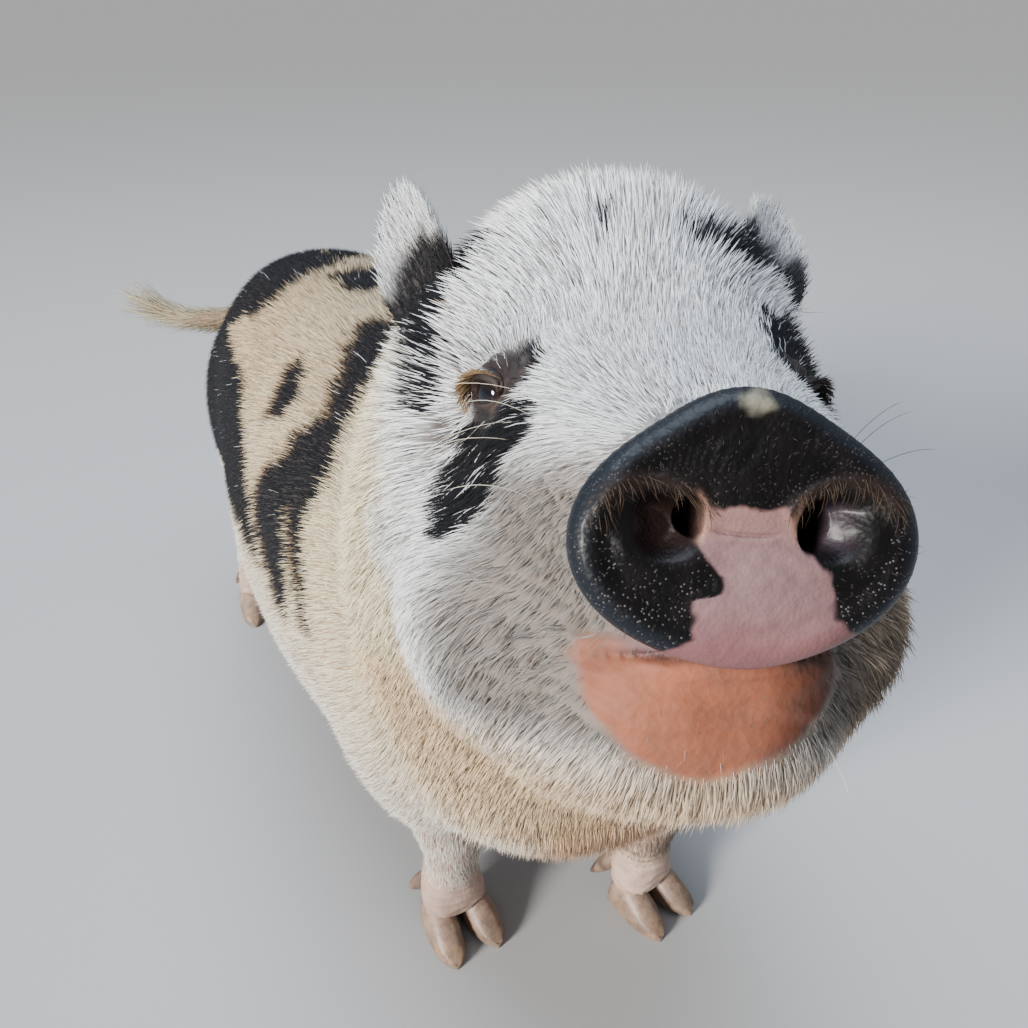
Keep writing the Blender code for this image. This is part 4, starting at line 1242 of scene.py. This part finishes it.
def hoof_mesh(foot, toe):
    """A main hoof with a flat sole, rings of growth and a rounded top edge."""
    claw = [(0, y, 0.006, half - 0.0003, top - 0.0063, 0.0058) for y, half, top in HOOF_STATIONS]
    rings = loft_points(claw, 40, 7, 2.5)
    x, y, z = rings.reshape(-1, 3).T
    z = np.maximum(z, 0.0003)
    rounded = ramp(-z, -0.0016, 0.0)
    ringed = np.sin((z * 1.1 - y * 0.55) / 0.00062 + 0.8 * waves(np.stack([x, y, z], 1), 0.012, 71))
    swell = 1 + (0.011 * ringed - 0.030 * rounded) * ramp(z, 0.0005, 0.003)
    x = x * swell
    y = HOOF_MIDDLE + (y - HOOF_MIDDLE) * (1 + (swell - 1) * 0.5)
    rings = np.stack([x, y, z], axis=1).reshape(rings.shape)
    place = foot_place(foot) @ Matrix.Translation((HOOF_SPREAD * toe, 0, 0))
    mesh = capped("hoof", rings, place @ Matrix.Rotation(math.radians(5.0) * toe, 4, "Z"))
    points = mesh_points(mesh)
    paint(mesh, layered(
        HORN,
        (HORN_DARK, ramp(waves(points, 0.010, 72), -0.6, 1.0)),
        (HORN_WORN, ramp(-points[:, 2], -0.0045, -0.0010) * 0.6),
        (HORN_TOP, ramp(points[:, 2], 0.010, 0.024) * 0.7),
    ))
    return mesh


def dewclaw_mesh(foot, toe):
    way = unit(np.array([0.40 * toe, 0.52, -0.76]))
    root = np.array([0.0120 * toe, 0.0150, 0.0330])
    sizes = [(-0.45, 0.70), (-0.10, 0.96), (0.30, 0.92), (0.60, 0.70), (0.85, 0.42), (1.0, 0.16)]
    stations = [(*(root + way * 0.022 * t), *[0.0062 * size] * 3) for t, size in sizes]
    mesh = capped("dewclaw", loft_points(stations, 24, 6, 2.1, (0, 1, 0.2)), foot_place(foot))
    paint(mesh, mix(SMALL_HORN, SMALL_HORN_DARK, ramp(waves(mesh_points(mesh), 0.006, 73), -0.7, 0.9)))
    return mesh


def tail_mesh():
    line = [(*(np.array(row[:3]) + SHIFT), *[row[3] - 0.0010] * 3) for row in TAIL_LINE]
    mesh = capped("tail_skin", loft_points(line, 32, 8, 2.0))
    points = mesh_points(mesh)
    folds = np.sin(points[:, 1] / 0.0011 + waves(points, 0.01, 74))
    set_points(mesh, points + mesh_normals(mesh) * (0.0002 * folds)[:, None])
    paint(mesh, mix(PINK * 0.7, TAN, ramp(waves(points, 0.03, 75), -0.4, 0.8)))
    return mesh


# Coat


def lie_of_coat(points, normals):
    """The way the hair lies at each point, along the skin."""
    local = to_head(points)
    x, z = local[:, 0], local[:, 2]
    ahead = np.ones_like(x)
    outward = ramp(np.abs(x), 0.008, 0.045)
    upper = ramp(z, -0.02, 0.02)
    sideways = np.sign(x) * outward * (0.35 + 0.45 * upper)
    drop = 0.45 * upper - 0.75 * (1 - upper) - 0.30 * ramp(-z, 0.04, 0.08)
    face = np.stack([sideways, ahead, drop], 1)
    for side in (-1, 1):
        gap = local - EYE_AT * [side, 1, 1]
        face += unit(gap) * (2.3 * bell(np.linalg.norm(gap, axis=1), 0.0, 0.026))[:, None]
    bx, by, bz = points.T
    body = np.stack([np.sign(bx) * 0.12, ahead, -0.10 - 0.65 * ramp(-bz, -0.37, -0.24)], 1)
    body = layered(
        body,
        (np.array([0.0, 0.15, -1.0]), ramp(-by, 0.17, 0.24) * ramp(-bz, -0.42, -0.34)),
        (np.array([0.0, 0.25, -1.0]), ramp(by, 0.24, 0.33)),
        (np.array([0.0, 0.18, -1.0]), ramp(-bz, -0.16, -0.12)),
    )
    way = mix(body, face @ HEAD_TURN.T, head_share(points))
    way = way + 0.10 * np.stack([waves(points, 0.05, seed) for seed in (81, 82, 83)], 1)
    return unit(along_skin(way, normals))


def coat_numbers(points):
    """Length, width, lift and density (per square metre) of the hair at each point."""
    local = to_head(points)
    x, y, z = local.T
    head = head_share(points)
    crown = ramp(y + 0.6 * z, -0.020, 0.060)
    cheek = ramp(-z, -0.01, 0.02) * ramp(y, -0.070, -0.020) * (1 - crown)
    length = mix_number(0.0115, 0.0082 + 0.0088 * crown + 0.0036 * cheek, head)
    width = mix_number(0.00056, 0.00046 + 0.00014 * crown + 0.00005 * cheek, head)
    lift = mix_number(0.26, 0.23 + 0.33 * crown + 0.12 * cheek, head)
    density = mix_number(340e3, 1550e3 - 1190e3 * crown - 1000e3 * cheek * (1 - crown), head)
    muzzle = muzzle_share(local) * head
    density = density * (1 - 0.35 * muzzle)
    length = length * (1 - 0.30 * ramp(-y, 0.078, 0.100) * head)
    fringe = bell(z, -0.112, 0.012) * ramp(-y, 0.02, 0.06) * head
    length = length + 0.0050 * fringe
    lift = lift + 0.25 * fringe
    leg = ramp(-points[:, 2], -0.15, -0.09)
    length = mix_number(length, 0.0085, leg)
    width = mix_number(width, 0.00052, leg)
    lift = mix_number(lift, 0.22, leg)
    density = mix_number(density, 620e3, leg)
    belly = ramp(-points[:, 2], -0.14, -0.11) * (1 - leg)
    density = density * (1 - 0.3 * belly)
    for share, fewer, shorter, finer in (
        (ramp(-points[:, 2], -0.070, -0.046), 1.0, 0.50, 0.0),
        (chin_share(local) * head, 0.96, 0.50, 0.40),
        (eye_bare(local) * head, 0.88, 0.35, 0.45),
        (temple_share(local) * head, 0.85, 0.30, 0.0),
    ):
        density = density * (1 - fewer * share)
        length = length * (1 - shorter * share)
        width = width * (1 - finer * share)
    for side in (-1, 1):
        along, across, out, distance = eye_place(local, side)
        margin = opening_margin(along, across)
        shut = (distance < 0.022) & (out > 0) & (margin > -0.0024) & (np.abs(along) < 0.0122)
        density = np.where(shut, 0, density)
    away, _ = mouth_place(local)
    density = density * (1 - bell(away, 0.0, 0.0020) * ramp(-y, 0.050, 0.062) * head)
    density = density * (1 - ramp(-y, 0.1035, 0.1050) * head)
    lip = ramp(-y, 0.082, 0.092) * ramp(-z, 0.060, 0.066) * ramp(z, -0.080, -0.074)
    density = density * (1 - 0.85 * lip * ramp(-np.abs(x), -0.036, -0.024) * head)
    return length, width, lift, np.maximum(density, 0)


def hair_colour(points, draw):
    """The colour of each hair from its root's place."""
    head = head_share(points)
    count = len(points)
    local = to_head(points)
    # the hollow round each eye gets dark hairs: partly their own colour, partly painted shade of the hollow
    share = np.maximum(blackness(points), 0.86 * socket_share(local) * head)
    soft = 0.20 - 0.13 * (1 - head)
    black = share > soft + (1 - 2 * soft) * draw.random(count)
    pale = coat_tone(points) * (1.15 - (0.74 + 0.22 * head) * draw.random(count) ** 1.6)[:, None]
    brown = draw.random(count) < 0.08 - 0.05 * head
    pale = np.where(brown[:, None], pale * [0.36, 0.28, 0.21], pale)
    dark = BLACK * draw.uniform(0.7, 2.2, count)[:, None]
    faded = ramp(-np.linalg.norm((local - [-0.0660, 0.0280, 0.0040]) / 0.0210, axis=1), -1.15, -0.45) * head
    stray = black & (draw.random(count) < 0.004 + 0.040 * head + 0.26 * faded)
    colour = np.where(black[:, None], dark, pale)
    return np.where(stray[:, None], WHITE * 0.75, colour)


def rooted(mesh, density, draw):
    """Roots spread over a mesh: their places and normals."""
    points, normals, triangles = mesh_points(mesh), mesh_normals(mesh), mesh_triangles(mesh)
    a, b, c = (points[triangles[:, k]] for k in range(3))
    area = np.linalg.norm(np.cross(b - a, c - a), axis=1) / 2
    middle = (a + b + c) / 3
    share = area * density(middle)
    heaped = np.cumsum(share)
    count = int(heaped[-1])
    marks = (np.arange(count) + draw.random(count)) * heaped[-1] / max(count, 1)
    which = np.minimum(np.searchsorted(heaped, marks), len(share) - 1)
    s, t = draw.random(count), draw.random(count)
    over = s + t > 1
    s, t = np.where(over, 1 - s, s)[:, None], np.where(over, 1 - t, t)[:, None]
    place = a[which] + (b - a)[which] * s + (c - a)[which] * t
    na, nb, nc = (normals[triangles[which, k]] for k in range(3))
    return place, unit(na * (1 - s - t) + nb * s + nc * t)


def chart(points):
    """Each root's place on an unwrap of the body: head, trunk and legs round their own lines."""
    local = to_head(points)
    head = head_share(points) > 0.5
    turn = np.arctan2(local[:, 0], local[:, 2] + 0.02) / math.tau + 0.5
    uv = np.stack([0.01 + 0.48 * turn, 0.01 + 0.48 * np.clip((local[:, 1] + 0.12) / 0.28, 0, 1)], 1)
    turn = np.arctan2(points[:, 0], points[:, 2] - TRUNK_HEIGHT) / math.tau + 0.5
    trunk = np.stack([0.51 + 0.48 * turn, 0.01 + 0.48 * np.clip((points[:, 1] + 0.36) / 0.80, 0, 1)], 1)
    uv = np.where(head[:, None], uv, trunk)
    for k, foot in enumerate(FEET):
        x, y, _ = FEET[foot]
        dx, dy = points[:, 0] - x - SHIFT.x, points[:, 1] - y - SHIFT.y
        around = np.arctan2(dx, dy) / math.tau + 0.5
        leg = np.stack([0.01 + 0.25 * k + 0.23 * around, 0.51 + 0.23 * np.clip(points[:, 2] / 0.17, 0, 1)], 1)
        near = (points[:, 2] < 0.16) & (np.hypot(dx, dy) < 0.075)
        uv = np.where(near[:, None], leg, uv)
    return uv


def tufts(name, hairs, look, draw, knots=2, droop=0.75, stray=0.06):
    """Tapered three-sided tufts, in pieces of fewer than 200,000 triangles.

    The hairs are roots, normals, ways, lengths, widths, lifts, colours and places on the map; one number
    stands for the same number for all.
    """
    roots = hairs[0]
    hairs = [rows if np.ndim(rows) else np.full(len(roots), rows) for rows in hairs]
    most = PIECE_TRIANGLES // (6 * (knots - 1) + 3)
    parts = max(1, math.ceil(len(roots) / most))
    order = np.argsort(roots[:, 1] + 0.001 * roots[:, 2], kind="stable")
    for k, chosen in enumerate(np.array_split(order, parts)):
        label = name if parts == 1 else f"{name}_{k + 1}"
        piece = tuft_piece(label, [rows[chosen] for rows in hairs], look, draw, knots, droop, stray)
        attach(piece, "root")


def tuft_piece(name, hairs, look, draw, knots, droop, stray):
    roots, normals, ways, lengths, widths, lifts, colours, uv = hairs
    count = len(roots)
    sides = unit(np.cross(ways, normals))
    ways = unit(ways + draw.normal(0, stray, count)[:, None] * sides)
    curl = sides * draw.normal(0, stray * 0.7, count)[:, None]
    corners = [(math.cos(math.radians(angle)), math.sin(math.radians(angle))) for angle in (90, 210, 330)]
    rings = []
    for t in [k / knots for k in range(knots + 1)]:
        risen = np.sin(lifts)[:, None] * normals * (t * (1 + droop) - droop * t * t)
        bent = risen + np.cos(lifts)[:, None] * ways * t + curl * t * t
        at = roots - normals * ROOT_DEPTH + lengths[:, None] * bent
        taper = 1 - 0.45 * t
        ring = [at + sides * (widths / 2 * taper * across)[:, None]
                + normals * (widths * 0.36 * taper * rise)[:, None] for across, rise in corners]
        rings.append(at[:, None, :] if t == 1 else np.stack(ring, axis=1))
    points = np.concatenate(rings, axis=1)
    turns = ((0, 1), (1, 2), (2, 0))
    quads = [(3 * k + d, 3 * k + c, 3 * k + 3 + c, 3 * k + 3 + d) for k in range(knots - 1) for c, d in turns]
    ends = [(3 * knots - 3 + d, 3 * knots - 3 + c, 3 * knots) for c, d in turns]
    base = np.arange(count)[:, None, None] * points.shape[1]
    quads = np.array(quads, int).reshape(1, len(quads), 4) + base
    mesh = mesh_from_arrays(name, points.reshape(-1, 3), quads, np.array(ends)[None] + base)
    shade = 1 - (0.56 if knots == 1 else 0.76) * (1 - np.linspace(0, 1, knots + 1)) ** 1.6
    tone = np.concatenate([np.repeat(shade[:-1], 3), shade[-1:]])
    paint(mesh, np.clip((colours[:, None, :] * tone[None, :, None]).reshape(-1, 3), 0, 1))
    lay_patches(mesh, uv, knots)
    # hair is lit as the skin under it is, and only a little by its own roundness
    facing = [unit(normals + 0.80 * (sides * across + normals * rise)) for across, rise in corners]
    mesh.shade_smooth()
    mesh.normals_split_custom_set_from_vertices(np.stack(facing * knots + [normals], axis=1).reshape(-1, 3))
    return object_from(name, mesh, look)


def lay_patches(mesh, uv, knots):
    """Gives each tuft a patch of the map at its root's place."""
    half = PATCH / 2
    spots = [(c / 2 * PATCH - half, k / knots * PATCH - half) for k in range(knots) for c in range(3)]
    full = (uv[:, None, :] + np.array([*spots, (0.0, half)])[None]).reshape(-1, 2)
    corners = np.empty(len(mesh.loops), np.int32)
    mesh.loops.foreach_get("vertex_index", corners)
    layer = mesh.uv_layers.new(name="OFBake")
    layer.data.foreach_set("uv", full[corners].astype(np.float32).ravel())


def body_coat(skin, look):
    draw = np.random.default_rng(5)
    thin = 1.0
    roots, normals = rooted(skin, lambda p: coat_numbers(p)[3] * thin, draw)
    length, width, lift, _ = coat_numbers(roots)
    count = len(roots)
    length = length * draw.uniform(0.72, 1.22, count)
    lift = np.clip(lift + draw.normal(0, 0.07, count), 0.06, 1.2)
    width = width * draw.uniform(0.8, 1.25, count)
    ways = lie_of_coat(roots, normals)
    colours = hair_colour(roots, draw)
    hairs = roots, normals, ways, length, width, lift, colours, chart(roots)
    short = (length < LONG_HAIR) | (head_share(roots) < 0.5)
    for name, chosen, knots in (("coat_short", short, 1), ("coat", ~short, 2)):
        if chosen.any():
            tufts(name, [rows[chosen] for rows in hairs], look, draw, knots)


def ear_coat(which, mesh, look):
    draw = np.random.default_rng(6 if which == "left" else 7)
    roots, normals = rooted(mesh, lambda p: np.full(len(p), 620e3), draw)
    root, tip = (np.array(vector) for vector in EARS[which][:2])
    rise = unit(tip - root) @ HEAD_TURN.T
    side = unit(roots - from_head((root + (tip - root) * 0.5)[None]))
    ways = unit(along_skin(rise + 0.25 * side, normals))
    count = len(roots)
    local = to_head(roots)
    hair = ear_colour(local, which)[0] * draw.uniform(0.7, 1.08, count)[:, None]
    # not used, but the draws after it depend on it
    draw.random(count)
    turned, left = (1, 0.01) if which == "left" else (-1, 0.26)
    across = np.clip((local[:, 0] * turned - 0.04) / 0.06, 0, 1)
    inside = (normals @ HEAD_TURN)[:, 1] < 0
    uv = np.stack([left + 0.11 * across + 0.12 * inside,
                   0.76 + 0.22 * np.clip((local[:, 2] - 0.02) / 0.08, 0, 1)], 1)
    lengths = draw.uniform(0.0055, 0.0098, count)
    lifts = np.clip(draw.normal(0.30, 0.10, count), 0.05, 0.9)
    tufts("coat_ear_" + which, (roots, normals, ways, lengths, 0.00042, lifts, hair, uv), look, draw,
          stray=0.16)


def tail_coat(mesh, look):
    draw = np.random.default_rng(8)
    roots, normals = rooted(mesh, lambda p: np.full(len(p), 380e3), draw)
    line = eased([(*(np.array(row[:3]) + SHIFT), row[3]) for row in TAIL_LINE], 6)
    gap = np.linalg.norm(roots[:, None, :] - line[None, :, :3], axis=2)
    nearest = gap.argmin(1)
    tangent = np.gradient(line[:, :3], axis=0)
    count = len(roots)
    end = ramp(nearest / (len(line) - 1), 0.62, 0.95)
    ways = unit(along_skin(unit(tangent[nearest]), normals))
    length = 0.0150 * (1 - end) + draw.uniform(0.020, 0.042, count) * end
    tone = mix(TAIL_HAIR, TAIL_HAIR_DARK, ramp(waves(roots, 0.02, 95), -0.5, 0.8))
    tone = tone * draw.uniform(0.6, 1.1, count)[:, None]
    # not used, but the draws after it depend on it
    draw.random(count)
    uv = np.stack([0.51 + 0.22 * nearest / len(line),
                   0.76 + 0.22 * (np.arctan2(normals[:, 0], normals[:, 2]) / math.tau + 0.5)], 1)
    lifts = np.clip(draw.normal(0.40, 0.12, count), 0.05, 0.8)
    tufts("coat_tail", (roots, normals, ways, length, 0.00050, lifts, tone, uv), look, draw, 3)


def lashes(look):
    """Lashes on the upper lids, longest at the outer half and bent down round the outer corner."""
    draw = np.random.default_rng(9)
    for side, which in ((-1, "right"), (1, "left")):
        centre, inner, up, gaze = eye_frame(side)
        count = 260
        # round the lid from above the inner corner to below the outer one
        place = np.radians(draw.triangular(38, 128, 218, count))
        ring = np.cos(place)[:, None] * inner * 0.0099 + (np.sin(place) * 0.0054 + 0.0004)[:, None] * up
        roots = centre + unit(ring + gaze * 0.009) * (EYE_RADIUS + 0.0017)
        sweep = -np.sin(place)[:, None] * inner + np.cos(place)[:, None] * up
        ways = sweep * 0.92 + unit(ring) * 0.16 + gaze * 0.34
        ways = unit(ways + draw.normal(0, 0.10, (count, 3))) @ HEAD_TURN.T
        lengths = (0.0042 + 0.0030 * np.sin(place / 1.6)) * draw.uniform(0.75, 1.15, count)
        normals = np.tile(gaze @ HEAD_TURN.T, (count, 1))
        normals = unit(along_skin(normals, ways))
        roots = from_head(roots)
        tones = (LASH_GOLD if side < 0 else LASH_DARK) * draw.uniform(0.5, 1.4, count)[:, None]
        hairs = roots, normals, ways, lengths, 0.00026, 0.34, tones, chart(roots)
        tufts("lashes_" + which, hairs, look, draw, 4, 1.3)


WHISKERS = [
    # root, way, length in the head's frame, and whether the whisker is pale
    ((-0.0440, -0.0500, -0.0010), (-0.80, 0.30, -0.20), 0.034, True),
    ((-0.0480, -0.0440, -0.0100), (-0.72, 0.30, -0.62), 0.033, True),
    ((-0.0490, -0.0500, -0.0160), (-0.80, 0.30, -0.42), 0.028, True),
    ((-0.0440, -0.0560, -0.0080), (-0.70, 0.50, -0.10), 0.024, True),
    ((0.0400, -0.0880, -0.0180), (0.90, -0.10, 0.35), 0.020, False),
    ((0.0420, -0.0800, -0.0250), (0.95, -0.05, 0.10), 0.022, False),
    ((0.0440, -0.0760, -0.0330), (0.95, -0.05, -0.15), 0.016, False),
    ((0.0450, -0.0640, -0.0180), (0.85, 0.05, 0.40), 0.022, False),
    ((-0.0440, -0.0760, -0.0330), (-0.95, -0.05, -0.15), 0.024, True),
    ((0.0360, -0.0860, -0.0960), (0.10, -0.40, -0.90), 0.015, True),
]


def whiskers(skin, look):
    draw = np.random.default_rng(10)
    points = mesh_points(skin)
    roots, ways, lengths, colours = [], [], [], []
    for root, way, length, pale in WHISKERS:
        place = from_head(np.array(root)[None])[0]
        found = ((points - place) ** 2).sum(1).argmin()
        roots.append(points[found])
        ways.append(unit(np.array(way)) @ HEAD_TURN.T)
        lengths.append(length)
        colours.append(WHISKER_PALE if pale else WHISKER_DARK)
    roots, ways = np.array(roots), np.array(ways)
    side = unit(np.cross(ways, [0.0, 0.0, 1.0]))
    normal = unit(np.cross(side, ways))
    hairs = roots, normal, ways, np.array(lengths), 0.00027, 0.30, np.array(colours), chart(roots)
    tufts("whiskers", hairs, look, draw, 8, 1.6)


def disc_place(points):
    """Place in millimetres from the disc's centre, distance out of the hollows, and share of their brows."""
    local = to_head(points)
    x, z = local[:, 0] * 1000, (local[:, 2] - DISC_CENTRE) * 1000
    hollow = nearest_hollow(x, z)
    return x, z, hollow, bell(hollow, 1.12, 0.24) * ramp(z, 1.0, 6.0)


def disc_density(points):
    x, z, hollow, brow = disc_place(points)
    edge = disc_reach(np.arctan2(z, x)) * 1000 - np.hypot(x, z)
    field = (1 - pink_share(x, z)) * ramp(hollow, 1.0, 1.2) * ramp(edge, 0.5, 2.0)
    front = to_head(points)[:, 1] < DISC_FRONT + 0.004
    return (170e3 * field + 620e3 * brow) * front * 1.0


def disc_hair(mesh, look):
    """The short fine hairs on the black of the disc and the longer ones over the nostrils."""
    draw = np.random.default_rng(11)
    roots, normals = rooted(mesh, disc_density, draw)
    x, z, _, brow = disc_place(roots)
    count = len(roots)
    over = brow > draw.uniform(0.2, 0.8, count)
    hanging = np.stack([-0.25 * np.sign(x), np.full(count, -0.3), np.full(count, -1.0)], 1)
    ways = np.where(over[:, None], hanging, flat_points(x, z) * 0.02)
    ways = (ways + draw.normal(0, 0.28, ways.shape)) @ HEAD_TURN.T
    ways = unit(along_skin(ways, normals))
    lengths = np.where(over, draw.uniform(0.0028, 0.0075, count), draw.uniform(0.0010, 0.0022, count))
    colours = np.where(over[:, None], NOSTRIL_HAIR, DISC_HAIR) * draw.uniform(0.5, 1.3, count)[:, None]
    widths, lifts = np.where(over, 0.00022, 0.00016), np.where(over, 0.55, 0.75)
    hairs = roots, normals, ways, lengths, widths, lifts, colours, chart(roots)
    tufts("disc_hair", hairs, look, draw)


# Stage


def stage():
    corners = [(x * FLOOR_HALF, y * FLOOR_HALF, 0) for x, y in ((-1, -1), (1, -1), (1, 1), (-1, 1))]
    object_from("floor", mesh_from_arrays("floor", corners, [(0, 1, 2, 3)]), floor_look())
    camera = bpy.data.cameras.new("camera")
    camera.sensor_width = 36.0
    camera.lens = CAMERA_LENS
    camera.clip_start = 0.01
    bpy.context.scene.camera = aimed("camera", camera, CAMERA_AT, CAMERA_LOOK)
    world = bpy.data.worlds.new("studio")
    world.use_nodes = True
    backdrop = world.node_tree.nodes["Background"]
    backdrop.inputs["Color"].default_value = (0.82, 0.90, 1.0, 1.0)
    backdrop.inputs["Strength"].default_value = 0.36
    bpy.context.scene.world = world
    sun = lamp("key", (-2.7, -0.95, 1.25), (0.0, -0.15, 0.30), "SUN", 9.0, (1.0, 0.972, 0.925))
    sun.angle = math.radians(16.0)
    top = lamp("top", (-0.1, 0.15, 2.6), (0.0, -0.15, 0.25), "AREA", 102.0, (0.76, 0.87, 1.0))
    fill = lamp("fill", (1.8, -1.6, 1.2), (0.0, -0.2, 0.30), "AREA", 2.5, (1.0, 0.97, 0.94))
    top.size, fill.size = 1.8, 1.4


def aimed(name, data, place, way):
    """A camera or lamp at its place, looking the given way."""
    made = linked(name, data)
    made.location = place
    made.rotation_mode = "QUATERNION"
    made.rotation_quaternion = way.to_track_quat("-Z", "Y")
    return made


def lamp(name, place, target, kind, power, colour):
    light = bpy.data.lights.new(name, kind)
    light.energy = power
    light.color = colour
    aimed(name, light, place, Vector(target) - Vector(place))
    return light


def settle(piece, slot, *nodes):
    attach(piece, "root")
    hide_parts(*nodes)


def main():
    stage()
    skin_material, coat_material, horn = skin_look(), coat_look(), horn_look()
    mesh = skin_mesh()
    paint_skin(mesh)
    settle(object_from("skin", mesh, skin_material), "coat", *FLESH)
    body_coat(mesh, coat_material)
    whiskers(mesh, coat_material)
    snout = snout_mesh()
    settle(object_from("snout_disc", snout, snout_look()), "snout_skin", "snout")
    disc_hair(snout, coat_material)
    eye = eye_look()
    for side, which in ((-1, "right"), (1, "left")):
        settle(object_from("eyeball_" + which, eye_mesh(side), eye), "eye", "eye_" + which)
        ear = ear_mesh(which)
        settle(object_from("ear_skin_" + which, ear, skin_material), "white_coat", "ear_" + which)
        ear_coat(which, ear, coat_material)
    lashes(coat_material)
    for foot in FEET:
        for toe, which in ((-1, "right"), (1, "left")):
            claw = object_from(f"claw_{foot}_{which}", hoof_mesh(foot, toe), horn)
            settle(claw, "horn", f"hoof_{foot}_{which}")
            claw = object_from(f"small_claw_{foot}_{which}", dewclaw_mesh(foot, toe), horn)
            settle(claw, "horn", f"dewclaw_{foot}_{which}")
    tail = tail_mesh()
    settle(object_from("tail_skin", tail, skin_material), "coat", "tail")
    tail_coat(tail, coat_material)


main()
